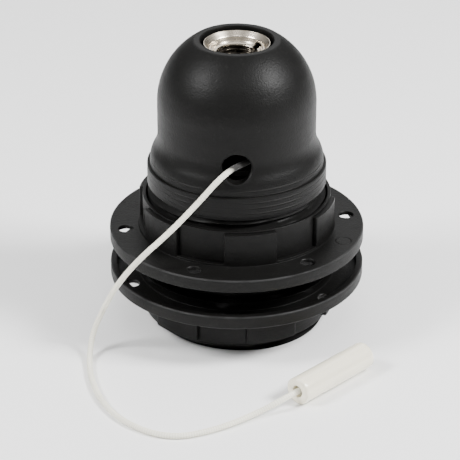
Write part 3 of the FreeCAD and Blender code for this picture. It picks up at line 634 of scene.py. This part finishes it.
@dataclass(frozen=True)
class Braid:
    """A fine textile braid on its own UV: u once round the cord, v in millimetres along it.

    Its inner end, which runs over the switch, is painted dark as shade inside the cap.
    """

    name: str
    pale: tuple[float, float, float]
    shade: tuple[float, float, float]
    picks: float = 8.0
    lay: float = 1.1

    def paint(self) -> bpy.types.Material:
        """Make the material: fibres along both ways of the braid, with soiled hollows, and the inner end
        painted dark as shade.

        Returns:
            The finished material.
        """
        paint = Paint(self.name)
        u, v, _ = paint.parts(paint.node("ShaderNodeUVMap", {"uv_map": "braid"}))
        fibres = paint.noise(1.0, 2.0, paint.joined(u * 60.0, v * 9.0, 0.0))
        ways = ((u * self.picks + v / self.lay) * FULL_TURN).wave()
        ways = ways * ((u * self.picks - v / self.lay) * FULL_TURN).wave()
        soil = paint.noise(160.0, 3.0)
        shade = ways.rise(0.2, -0.7) * 0.5 + (fibres - 0.5) * 0.5 + soil.rise(0.5, 0.75) * 0.18
        colour = paint.blend(shade, (*self.pale, 1.0), (*self.shade, 1.0))
        # Painted shade: the cord is darkened within this radius and above this height, inside the cap.
        cap_shadow = paint.radius().rise(*SHADOWED_WITHIN) * paint.z.rise(*SHADOWED_ABOVE)
        colour = paint.blend(cap_shadow, colour, CAP_SHADOW_COLOUR)
        return paint.finish({
            "Base Color": colour, "Roughness": 0.78 + (fibres - 0.5) * 0.2, "Sheen Weight": 0.25,
            "Sheen Roughness": 0.4, "Normal": paint.bump(fibres, 0.00003),
        })


BLACK = {"dark": 0.0030, "pale": 0.0050, "warmth": 0.06, "roughness": 0.44, "gloss": 0.12}
FINISHES = {finish.name: finish for finish in (
    Moulded("black_turned", turns=(32.4, 40.2, 1.25), **BLACK),
    # The rims' top edges carry a painted highlight.
    Moulded("black_upper", pin_mark=(23.73, -9.35, 22.38), highlighted_edges=((28.4, 22.3),), **BLACK),
    Moulded("black_lower", highlighted_edges=((28.4, 13.4),), **BLACK),
    Metal("nickel_plate", (0.70, 0.655, 0.585), 0.30, Grain.TURNED),
    # The bush's bore and the lock screw's hole are painted dark as shade.
    Metal("nickel_turned", (0.60, 0.54, 0.45), 0.24, Grain.TURNED,
          hollows=((0.0, 0.0, 5.2, 63.8), (4.9, 2.85, 0.95, 64.6))),
    Metal("blued_steel", (0.10, 0.105, 0.125), 0.38, Grain.TURNED),
    # Painted shade: the switch frame is made dark so that the cap's hole reads as shadowed.
    Moulded("insulator_painted_shade", 0.012, 0.02, 0.08, 0.6, gloss=0.2),
    Moulded("insulator", 0.55, 0.66, 0.03, 0.55, grain=2600.0),
    Metal("brass", (0.74, 0.52, 0.24), 0.28, Grain.TURNED),
    Metal("spring_bronze", (0.72, 0.44, 0.27), 0.33, Grain.ROLLED),
    Metal("plated_steel", (0.62, 0.61, 0.59), 0.34, Grain.ROLLED),
    Metal("spring_wire", (0.50, 0.49, 0.48), 0.30, Grain.ROLLED),
    Moulded("white_nylon", 0.70, 0.78, 0.02, 0.42, grain=3000.0),
    Moulded("ivory_plastic", 0.80, 0.85, 0.20, 0.18, spread=0.05, relief=0.000002, coat=0.6),
    Braid("braided_cord", (0.89, 0.87, 0.75), (0.58, 0.55, 0.44)),
)}


# ---------------- the moulded shell


@dataclass
class Piece:
    """A piece of the visual model that stands for one node of the frame."""

    node: str
    body: str
    slot: str
    name: str = field(init=False)
    shell: Shell = field(init=False, default_factory=Shell)

    def __post_init__(self) -> None:
        """Name the piece after its node."""
        self.name = f"{self.node}_form"

    def build(self) -> None:
        """Add the piece's points and faces to its shell."""
        raise NotImplementedError

    def mesh(self) -> bpy.types.Mesh:
        """Build the piece and make its mesh."""
        self.build()
        return self.shell.mesh(self.name)

    def put(self, material: bpy.types.Material) -> bpy.types.Object:
        """Make the piece, dress it and tie it to the frame.

        Args:
            material: its finish.

        Returns:
            The piece.
        """
        piece = bpy.data.objects.new(self.name, self.mesh())
        bpy.context.scene.collection.objects.link(piece)
        piece.data.materials.append(material)
        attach(piece, self.body)
        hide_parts(self.node)
        log.info("%s: %d faces", self.name, len(piece.data.polygons))
        return piece


@dataclass
class Cap(Piece):
    """The cap: a ring shoulder, a domed shell with a mouth, an inner boss and the cord's hole."""

    hole_height: float = 43.7
    hole_radius: float = 3.15
    chamfer: float = 0.3
    columns: int = 192
    half_block: int = 8
    outer_rows: tuple[int, int] = (4, 10)
    inner_row: int = 14

    def build(self) -> None:
        """Turn the cap's outline about the axis and pierce both skins for the cord."""
        outline, marks = traced([
            Stop(19.3, 37.7, 0.12), Stop(19.3, 38.2, arc=6.7, steps=11),
            Stop(18.4, 41.55, arc=-6.7, steps=11), Stop(17.5, 44.9, steps=24),
            Stop(17.5, 52.1, arc=16.7, steps=36), Stop(9.4, 66.45, steps=9),
            Stop(8.0, 66.45, 0.2, steps=3), Stop(8.2, 62.6), Stop(7.3, 62.6, steps=6),
            Stop(7.3, 54.0, 0.3), Stop(9.8, 54.0, 0.3, steps=5),
            Stop(9.8, 63.45, arc=-14.5, steps=18), Stop(15.3, 52.1, steps=30),
            Stop(15.3, 43.1, steps=4), Stop(16.3, 42.1, steps=15), Stop(16.3, 37.7, 0.12, steps=3),
        ])
        angles = math.pi / 2 + even_angles(self.columns)
        shell = self.shell
        numbers = shell.add(carried_round(outline[:, :1], outline[:, 1:], angles))
        front = self.columns // 2
        columns = (front - self.half_block, front + self.half_block)
        low, high = marks[1] + self.outer_rows[0], marks[3] + self.outer_rows[1]
        inner_high = marks[12] + self.inner_row
        outer, inner = Block((low, high), columns), Block((inner_high + high - low, inner_high), columns)
        shell.skin(numbers, [outer, inner])
        wall = self.opening(outline[marks[1]:marks[4] + 1], self.hole_radius + self.chamfer)
        rim, bearings = shell.narrow(outer.border(numbers), wall)
        edge = self.opening(outline[marks[12]:marks[15] + 1][::-1], self.hole_radius)
        exit_loop, _ = shell.narrow(inner.border(numbers), edge, bearings, inside=True)
        flat = edge.circle(bearings)
        throat = shell.add(np.stack([flat[:, 0], shell.at(rim)[:, 1] + self.chamfer, flat[:, 1]], axis=-1))
        shell.strip(rim, throat)
        shell.strip(throat, exit_loop)

    def opening(self, wall: Array, radius: float) -> RoundHole:
        """The cord's hole in a turned wall, seen along +Y: y = -sqrt(r(z)^2 - x^2).

        Args:
            wall: the wall's outline, from low to high.
            radius: radius of the hole.

        Returns:
            The hole.
        """
        def lift(flat: Array) -> Array:
            """Points of the plane back on the wall."""
            reach = np.interp(flat[..., 1], wall[:, 1], wall[:, 0])
            return np.stack([flat[..., 0], -np.sqrt(reach**2 - flat[..., 0] ** 2), flat[..., 1]], axis=-1)

        return RoundHole((0.0, self.hole_height), radius, lambda points: points[:, [0, 2]], lift)


@dataclass
class Skirt(Piece):
    """The skirt: an M40 thread outside, a plain band, and a notched neck inside the cap."""

    thread: Thread = Thread(2.5)
    core: float = 18.4
    crest: float = 19.85
    columns: int = 180
    neck_top: float = 42.0
    notch_top: float = 39.9
    notch: tuple[float, float] = (-108.5, -65.5)
    notch_step: float = 0.0004

    def build(self) -> None:
        """Turn the skirt's outline and cut the helix into its outside.

        The outside is the smaller of the outline's radius, which holds the chamfers of both ends,
        and core + (crest - core) * (1 - depth of the thread).
        """
        whole, marks = traced(self.stops(self.neck_top))
        notched, _ = traced(self.stops(self.notch_top))
        edges = np.radians(np.array(self.notch))
        even = even_angles(self.columns) - math.pi
        angles = np.sort(np.concatenate([even, edges - self.notch_step, edges + self.notch_step]))
        inside = ((angles > edges[0]) & (angles < edges[1])).astype(float)
        radii, heights = between(whole, notched, inside)
        cut = slice(marks[0], marks[3])
        helix = self.crest - (self.crest - self.core) * self.thread.depth(heights[cut], angles[None, :])
        radii[cut] = np.minimum(radii[cut], helix)
        self.shell.skin(self.shell.add(carried_round(radii, heights, angles)))

    def stops(self, neck_top: float) -> list[Stop]:
        """The skirt's outline, with its neck at a given height."""
        return [
            Stop(self.crest - 0.3, 0.0), Stop(self.crest, 0.3, steps=156), Stop(self.crest, 31.03, steps=5),
            Stop(18.6, 31.9, steps=3), Stop(18.6, 32.9), Stop(19.9, 33.2, 0.12, steps=8),
            Stop(19.9, 37.7, 0.22, steps=3), Stop(16.2, 37.7), Stop(16.2, neck_top, 0.2),
            Stop(14.8, neck_top, 0.2, steps=4), Stop(14.8, 26.0), Stop(14.1, 26.0), Stop(14.1, 24.0),
            Stop(16.6, 24.0, steps=12), Stop(16.6, 0.0, 0.2),
        ]


@dataclass
class ShadeRing(Piece):
    """A shade ring: a flange with six holes, and a knurled collar with six raised grips."""

    height: float = 0.0
    turn: float = 0.0
    flipped: bool = False
    hole_circle: float = 25.0
    hole_radius: float = 1.6
    face: float = 2.9
    web: float = 1.97
    chamfer: float = 0.15
    half_block: int = 5
    upper_rows: tuple[int, int] = (1, 11)
    lower_rows: tuple[int, int] = (12, 2)
    grip_edges: tuple[float, float] = (14.5, 45.5)
    grip_radius: float = 22.0
    around: int = 6
    corner: tuple[float, ...] = (0.0, 0.35, 0.70, 0.86, 0.95, 0.99, 1.0)
    corner_places: tuple[float, ...] = (0.0, 0.03, 0.06, 0.10, 0.18, 0.30, 0.42)

    def build(self) -> None:
        """Blend the collar's outline between its plain and its raised form, and pierce the flange."""
        plain, marks = traced(self.stops(0.0))
        raised, _ = traced(self.stops(1.0))
        angles, share = self.columns()
        shell = self.shell
        numbers = shell.add(carried_round(*between(plain, raised, share), angles))
        top, bottom = (tuple(marks[stop] + row for row in rows)
                       for stop, rows in ((6, self.upper_rows), (2, self.lower_rows)))
        holes, blocks = [], []
        for azimuth in even_angles(self.around):
            middle = int(np.argmin(np.abs(angles - azimuth)))
            columns = (middle - self.half_block, middle + self.half_block)
            holes.append((azimuth, Block(top, columns), Block(bottom, columns)))
            blocks += holes[-1][1:]
        shell.skin(numbers, blocks)
        for azimuth, upper, lower in holes:
            centre = (self.hole_circle * math.cos(azimuth), self.hole_circle * math.sin(azimuth))
            loops, bearings = [], None
            for block, level, step in ((upper, self.face, -self.chamfer), (lower, self.web, self.chamfer)):
                hole = self.opening(centre, self.hole_radius + self.chamfer, level)
                rim, bearings = shell.narrow(block.border(numbers), hole, bearings, inside=block is lower)
                throat = self.opening(centre, self.hole_radius, level + step)
                loops += [rim, shell.add(throat.lift(throat.circle(bearings)))]
            for first, second in ((loops[0], loops[1]), (loops[1], loops[3]), (loops[3], loops[2])):
                shell.strip(first, second)
        way = np.array([1.0, -1.0, -1.0]) if self.flipped else np.ones(3)
        shell.points = [turned(points * way, self.turn) + (0.0, 0.0, self.height) for points in shell.points]

    def stops(self, raised: float) -> list[Stop]:
        """The ring's outline from its clamping face up, plain where raised is 0, at a grip where it is 1."""
        grip = 21.0 + raised
        return [
            Stop(20.2, 0.0, 0.15, steps=3), Stop(22.0, 0.0, 0.15, steps=3),
            Stop(22.0, self.web, 0.2, steps=12), Stop(27.0, self.web, 0.2, steps=3),
            Stop(27.0, 0.0, 0.12, steps=3), Stop(28.5, 0.0, 0.28, steps=3),
            Stop(28.5, self.face, 0.28, steps=12), Stop(22.0, self.face, 0.12), Stop(22.0, 3.3),
            Stop(21.93 + 0.07 * raised, 3.4), Stop(grip, 3.42 + 0.18 * raised, steps=8),
            Stop(grip, 10.1 + 0.3 * raised, 0.14, steps=2), Stop(21.0, 10.4),
            Stop(21.0, 10.9, 0.12, steps=2), Stop(20.2, 10.9, 0.2, steps=12),
        ]

    def columns(self) -> tuple[Array, Array]:
        """Place the columns, close together at the grips' edges, where a small corner is followed.

        Returns:
            Their angles, and the share of the raised outline at each.
        """
        edges = np.radians(self.grip_edges)
        reach = np.array(self.corner_places) / self.grip_radius
        rising, falling = edges[0] + reach, edges[1] - reach[::-1]
        free = np.linspace(-edges[0], edges[0], 25)[1:-1]
        held = np.linspace(rising[-1], falling[0], 22)[1:-1]
        angles = np.concatenate([free, rising, held, falling])
        corner = np.array(self.corner)
        share = np.concatenate([np.zeros(len(free)), corner, np.ones(len(held)), corner[::-1]])
        sectors = even_angles(self.around)[:, None]
        return (angles[None, :] + sectors).ravel(), np.tile(share, self.around)

    def opening(self, centre: tuple[float, float], radius: float, level: float) -> RoundHole:
        """Plan a hole in one of the flange's two faces.

        Args:
            centre: its middle.
            radius: its radius.
            level: the face's height.

        Returns:
            The hole.
        """
        def lift(flat: Array) -> Array:
            """Points of the plane at the face's height."""
            return np.concatenate([flat, np.full((*flat.shape[:-1], 1), level)], axis=-1)

        return RoundHole(centre, radius, lambda points: points[:, :2], lift, 2)


# ---------------- metal pieces


@dataclass
class EntryBush(Piece):
    """The threaded entry: a turned bush with a stepped mouth, a punched slot and the lock screw's hole."""

    thread: Thread = Thread(1.0, 0.12, 0.12)
    bore: float = 4.5
    bore_ends: tuple[float, float] = (54.6, 63.65)
    bore_rows: int = 90
    threaded: tuple[float, float] = (54.7, 63.75)
    depth: float = 0.5
    fade: float = 0.5
    columns: int = 96
    screw_height: float = 61.2
    screw_radius: float = 1.25
    screw_depth: float = 7.2
    screw_turn: float = 30.0
    screw_block: tuple[int, int] = (16, 7)
    slot_height: float = 63.6
    slot_half: float = 0.65
    slot_reach: float = 6.5

    def build(self) -> None:
        """Turn the bush, cut its thread and pierce the bore for the lock screw."""
        low, high = self.bore_ends
        outline, marks = traced([
            Stop(7.3, low, 0.15, steps=4), Stop(7.3, 65.75, 0.12, steps=2), Stop(7.1, 65.75, steps=8),
            Stop(6.1, 64.75), Stop(6.0, 64.45), Stop(5.7, 64.45), Stop(5.55, 64.1), Stop(5.2, 64.1),
            Stop(5.0, 63.75), Stop(self.bore, high, steps=self.bore_rows), Stop(self.bore, low, steps=6),
        ])
        middle = self.columns // 2
        way = math.radians(self.screw_turn)
        angles = way + FULL_TURN * (np.arange(self.columns) - middle) / self.columns
        radii = np.repeat(outline[:, :1], self.columns, axis=1)
        cut = slice(marks[9], marks[10])
        radii[cut] = self.bore_at(outline[cut, 1:], angles[None, :])
        slot = marks[3] + np.flatnonzero(np.abs(outline[marks[3]:, 1] - self.slot_height) < self.slot_half)
        radii[slot[:, None], middle + np.arange(-2, 3)] = self.slot_reach
        shell = self.shell
        numbers = shell.add(carried_round(radii, outline[:, 1:], angles))
        row = marks[9] + round((high - self.screw_height) / (high - low) * self.bore_rows)
        rows, columns = self.screw_block
        block = Block((row + rows, row - rows), (middle - columns, middle + columns))
        shell.skin(numbers, [block])
        hole = RoundHole((0.0, self.screw_height), self.screw_radius, self.flatten, self.lift)
        rim, bearings = shell.narrow(block.border(numbers), hole, inside=True)
        flat = hole.circle(bearings)
        deep = shell.add(self.outwards(np.full(len(flat), self.screw_depth), flat))
        shell.strip(deep, rim)
        shell.lid(deep[::-1])

    def bore_at(self, heights: Array, angles: Array) -> Array:
        """Radius of the threaded bore: bore + depth * thread depth, faded out at both ends."""
        fade = faded(heights, *self.threaded, self.fade)
        return self.bore + self.depth * self.thread.depth(heights, angles) * fade

    def flatten(self, points: Array) -> Array:
        """Points in the plane square to the screw: x across it, z as it is."""
        return turned(points, -self.screw_turn)[..., [1, 2]]

    def lift(self, flat: Array) -> Array:
        """Lift points of the plane back onto the bore: r from the thread at the angle asin(x / r).

        Args:
            flat: the points, as x across the screw and z.

        Returns:
            The points in space.
        """
        angle = np.arcsin(flat[..., 0] / (self.bore + self.depth / 2))
        reach = self.bore_at(flat[..., 1], angle + math.radians(self.screw_turn))
        return self.outwards(np.sqrt(reach**2 - flat[..., 0] ** 2), flat)

    def outwards(self, depth: Array, flat: Array) -> Array:
        """Points at a depth along the screw's own direction."""
        return turned(np.stack([depth, flat[..., 0], flat[..., 1]], axis=-1), self.screw_turn)


@dataclass
class LampShell(Piece):
    """The lamp's screw shell: a thin cup rolled to the round thread of the lamp's cap."""

    thread: Thread = Thread(3.63, 0.0, 0.0)
    columns: int = 120
    relief: float = 0.95
    threaded: tuple[float, float] = (5.9, 23.2)
    fade: float = 1.5

    def build(self) -> None:
        """Turn the cup and roll the thread into both of its faces, faded out at both ends."""
        outline, _ = traced([
            Stop(14.35, 4.5, 0.08), Stop(13.65, 5.7, steps=64), Stop(13.65, 23.55, arc=0.95, steps=6),
            Stop(12.7, 24.5, steps=4), Stop(8.0, 24.5), Stop(8.0, 24.15, steps=4),
            Stop(12.7, 24.15, arc=-0.6, steps=6), Stop(13.3, 23.55, steps=64), Stop(13.3, 5.7),
            Stop(14.0, 4.5, 0.08),
        ])
        angles, heights = even_angles(self.columns), outline[:, 1:]
        fade = faded(heights, *self.threaded, self.fade)
        roll = self.relief * fade * self.thread.depth(heights, angles[None, :])
        self.shell.skin(self.shell.add(carried_round(outline[:, :1] - roll, heights, angles)))


# ---------------- the pull cord


CORD_ROUTE = (
    (10.9, -5.95, 43.8), (2.75, -13.73, 43.8), (-2.2, -19.6, 44.2), (-8.6, -21.0, 36.9),
    (-14.6, -23.2, 31.1), (-20.8, -24.6, 25.8), (-26.1, -21.8, 17.8), (-29.6, -18.8, 9.6),
    (-31.8, -18.6, 4.2), (-32.4, -23.2, 0.65), (-31.7, -31.5, 0.65), (-29.0, -41.6, 0.65),
    (-23.4, -51.0, 0.65), (-13.6, -57.0, 0.65), (-3.4, -53.0, 0.65), (5.4, -46.4, 1.0),
    (10.21, -44.62, 3.0), (16.35, -38.18, 3.0),
)


@dataclass
class PullCord(Piece):
    """The braided pull cord, along one smooth line from the lever to the pull's bore."""

    radius: float = 0.65
    exit: tuple[float, float, float] = (-0.9, -17.7, 43.9)
    strands: int = 8
    lay: float = 1.1
    relief: float = 0.07
    sides: int = 32
    step: float = 0.13
    resolution: int = 40
    path: Array = field(init=False, default=None)
    along: Array = field(init=False, default=None)

    def build(self) -> None:
        """Sweep a circle along the line, with a braid's diamonds raised on it.

        The frame of each ring is side = t x z, up = side x t, turned back by the sum of t_z * d(azimuth)
        so that the braid doesn't twist. Its radius is radius - relief * (1 - sqrt(|cos a cos b|)),
        where a and b are the two ways of the strands.
        """
        self.path = self.line()
        lengths = np.concatenate([[0.0], np.cumsum(np.linalg.norm(np.diff(self.path, axis=0), axis=1))])
        count = int(lengths[-1] / self.step)
        along = np.linspace(0.0, lengths[-1], count)
        centres = np.stack([np.interp(along, lengths, self.path[:, axis]) for axis in range(3)], axis=-1)
        ways = np.gradient(centres, axis=0)
        ways /= np.linalg.norm(ways, axis=1)[:, None]
        side = np.cross(ways, (0.0, 0.0, 1.0))
        side /= np.linalg.norm(side, axis=1)[:, None]
        up = np.cross(side, ways)
        azimuth = np.unwrap(np.arctan2(ways[:, 1], ways[:, 0]))
        twist = np.cumsum(ways[:, 2] * np.gradient(azimuth))[:, None]
        turn = even_angles(self.sides)
        braid = turn * self.strands / 2, (math.pi * along / self.lay)[:, None]
        raised = np.sqrt(np.abs(np.cos(braid[0] + braid[1]) * np.cos(braid[0] - braid[1])))
        reach = (self.radius - self.relief * (1 - raised))[..., None]
        angle = (turn - twist)[..., None]
        rings = centres[:, None] + reach * (np.cos(angle) * side[:, None] + np.sin(angle) * up[:, None])
        self.shell.tube(rings)
        self.along = along

    def mesh(self) -> bpy.types.Mesh:
        """Make the mesh with its UV: u once round, v in millimetres along; a lid shares its ring's v.

        Returns:
            The mesh.
        """
        mesh = super().mesh()
        corners = np.empty(len(mesh.loops), int)
        mesh.loops.foreach_get("vertex_index", corners)
        row, column = corners // self.sides, corners % self.sides
        around = column / self.sides
        tube = (len(self.along) - 1) * self.sides * 4
        last = (column[:tube].reshape(-1, 4).max(axis=1) == self.sides - 1)
        first = column[:tube].reshape(-1, 4) == 0
        around[:tube] = np.where(first & last[:, None], 1.0, around[:tube].reshape(-1, 4)).ravel()
        layer = mesh.uv_layers.new(name="braid")
        layer.data.foreach_set("uv", np.stack([around, self.along[row]], axis=-1).ravel())
        return mesh

    def line(self) -> Array:
        """Draw the NURBS curve whose control points are the route.

        Returns:
            Points in millimetres along it.
        """
        curve = bpy.data.curves.new("cord_line", "CURVE")
        curve.dimensions = "3D"
        curve.resolution_u = self.resolution
        spline = curve.splines.new("NURBS")
        spline.points.add(len(CORD_ROUTE) - 1)
        route = np.hstack([np.array(CORD_ROUTE) * MM, np.ones((len(CORD_ROUTE), 1))])
        spline.points.foreach_set("co", route.ravel())
        spline.order_u = 3
        spline.use_endpoint_u = True
        holder = bpy.data.objects.new("cord_line", curve)
        bpy.context.scene.collection.objects.link(holder)
        bpy.context.view_layer.update()
        mesh = bpy.data.meshes.new_from_object(holder)
        points = np.empty(len(mesh.vertices) * 3)
        mesh.vertices.foreach_get("co", points)
        bpy.data.objects.remove(holder)
        bpy.data.meshes.remove(mesh)
        bpy.data.curves.remove(curve)
        return points.reshape(-1, 3) / MM

    def declare(self, piece: bpy.types.Object, fitted: Sequence[bpy.types.Object]) -> None:
        """Do nothing: the cord is left as it is.

        Args:
            piece: the cord; not used.
            fitted: the pieces on it; not used.
        """


@dataclass
class Pull(Piece):
    """The pull: a smooth rod with a rounded far end and a bore that the cord goes into."""

    start: tuple[float, float, float] = (12.9, -41.8, 3.0)
    azimuth: float = 46.4
    radius: float = 3.0
    length: float = 22.0
    bore: float = 1.3
    bore_depth: float = 5.0
    columns: int = 64

    def build(self) -> None:
        """Turn the rod upright, then lay it down: its z becomes the way of its azimuth."""
        outline, _ = traced([
            Stop(0.3, self.bore_depth, steps=2), Stop(self.bore, self.bore_depth, steps=5),
            Stop(self.bore, 0.0, 0.15, steps=2),
            Stop(self.radius, 0.0, 0.45, steps=16), Stop(self.radius, self.length, 0.9, steps=6),
            Stop(0.3, self.length),
        ])
        rod = carried_round(outline[:, :1], outline[:, 1:], even_angles(self.columns))
        laid = np.stack([rod[..., 2], rod[..., 1], -rod[..., 0]], axis=-1)
        self.shell.tube(turned(laid, self.azimuth) + np.array(self.start))


# ---------------- studio


def put_aimed(name: str, data: bpy.types.ID, place: Sequence[float],
              target: Sequence[float]) -> bpy.types.Object:
    """Place a light or a camera so that it looks at a point.

    Args:
        name: the object's name.
        data: the light or the camera.
        place: where it stands.
        target: the point.

    Returns:
        The object.
    """
    placed = bpy.data.objects.new(name, data)
    placed.location = place
    placed.rotation_euler = (Vector(target) - Vector(place)).to_track_quat("-Z", "Y").to_euler()
    bpy.context.scene.collection.objects.link(placed)
    return placed


@dataclass(frozen=True)
class SoftBox:
    """A square light that looks at a point."""

    name: str
    place: tuple[float, float, float]
    target: tuple[float, float, float]
    size: float
    power: float

    def put(self) -> None:
        """Make the light."""
        light = bpy.data.lights.new(self.name, "AREA")
        light.size = self.size
        light.energy = self.power
        put_aimed(self.name, light, self.place, self.target)


SOFT_BOXES = (
    SoftBox("left_box", (-0.40, -0.15, 0.41), (0.0, 0.0, 0.05), 0.16, 4.2),
    SoftBox("right_box", (0.41, -0.13, 0.42), (0.0, 0.0, 0.05), 0.16, 7.2),
    SoftBox("back_box", (0.0, 0.55, 0.50), (0.0, 0.0, 0.03), 0.50, 1.5),
    SoftBox("front_box", (0.0, -0.50, 0.75), (0.0, 0.0, 0.03), 0.30, 1.0),
)
CAMERA_PLACE = (0.0, -0.45469, 0.25143)
CAMERA_TARGET = (-0.001489, 0.0, 0.020219)
CAMERA_LENS = 177.10
CAMERA_SENSOR = 36.0
CAMERA_NEAR = 0.01
WORLD_RISE = (0.1, 0.8)
WORLD_LIGHT = (0.18, 0.60)
OWN_FINISHES = {
    "cap": "black_turned", "threaded_sleeve": "black_turned", "upper_shade_ring": "black_upper",
    "lower_shade_ring": "black_lower", "entry_bush": "nickel_turned",
    # switch_frame gets a dark finish as painted shade in the cap's hole.
    "switch_frame": "insulator_painted_shade",
}
FLOOR_SIZE = 6.0
FLOOR_LEVEL = 0.93
FLOOR_ROUGHNESS = 0.7


def put_camera() -> None:
    """Place the camera at its measured spot."""
    camera = bpy.data.cameras.new("camera")
    camera.lens = CAMERA_LENS
    camera.sensor_width = CAMERA_SENSOR
    camera.clip_start = CAMERA_NEAR
    bpy.context.scene.camera = put_aimed("camera", camera, CAMERA_PLACE, CAMERA_TARGET)


def put_studio() -> None:
    """Make a pale floor, a white world that is brighter overhead, and the soft boxes."""
    world = bpy.data.worlds.new("studio")
    world.use_nodes = True
    background = world.node_tree.nodes["Background"]
    background.inputs["Color"].default_value = grey(1.0)
    nodes, links = world.node_tree.nodes, world.node_tree.links
    way, parts, rise = (nodes.new(kind) for kind in (
        "ShaderNodeTexCoord", "ShaderNodeSeparateXYZ", "ShaderNodeMapRange"))
    for name, value in zip(("From Min", "From Max", "To Min", "To Max"), (*WORLD_RISE, *WORLD_LIGHT)):
        rise.inputs[name].default_value = value
    links.new(way.outputs["Generated"], parts.inputs["Vector"])
    links.new(parts.outputs["Z"], rise.inputs["Value"])
    links.new(rise.outputs["Result"], background.inputs["Strength"])
    bpy.context.scene.world = world
    mesh = bpy.data.meshes.new("floor")
    half = FLOOR_SIZE / 2
    mesh.from_pydata([(-half, -half, 0.0), (half, -half, 0.0), (half, half, 0.0), (-half, half, 0.0)], [],
                     [(0, 1, 2, 3)])
    paint = Paint("floor")
    mesh.materials.append(paint.finish({"Base Color": grey(FLOOR_LEVEL), "Roughness": FLOOR_ROUGHNESS}))
    floor = bpy.data.objects.new("floor", mesh)
    bpy.context.scene.collection.objects.link(floor)
    for box in SOFT_BOXES:
        box.put()


def dress(node: bpy.types.Object, material: bpy.types.Material) -> None:
    """Give a carried-over node its finish, in every slot that it has."""
    if not node.material_slots:
        node.data.materials.append(material)
    for slot in node.material_slots:
        slot.material = material


def main() -> None:
    """Build the scene: camera, cord, moulded and metal pieces, finishes and studio."""
    logging.basicConfig(level=logging.INFO, format="%(name)s: %(message)s")
    put_camera()
    slots = {row["node"]: row["material_slot"] for row in frame["record"]["subparts"]}
    materials = {name: finish.paint() for name, finish in FINISHES.items()}
    cord = PullCord("pull_cord", "cord", "braided_cord")
    pull = Pull("cord_pull", "cord", "ivory_plastic")
    cord_piece = cord.put(materials[cord.slot])
    cord.declare(cord_piece, [pull.put(materials[pull.slot]), frame["nodes"]["cord_ferrule"]])
    black = "black_plastic"
    pieces = (
        Cap("cap", "holder", black), Skirt("threaded_sleeve", "holder", black),
        ShadeRing("upper_shade_ring", "upper_ring", black, height=19.48, turn=8.2),
        ShadeRing("lower_shade_ring", "lower_ring", black, height=13.5, turn=21.4, flipped=True),
        EntryBush("entry_bush", "holder", "nickel_plate"),
        LampShell("screw_shell", "holder", "nickel_plate"),
    )
    for piece in pieces:
        piece.put(materials[OWN_FINISHES.get(piece.node, piece.slot)])
    for name, node in frame["nodes"].items():
        dress(node, materials[OWN_FINISHES.get(name, slots[name])])
    put_studio()


if __name__ == "__main__":
    main()
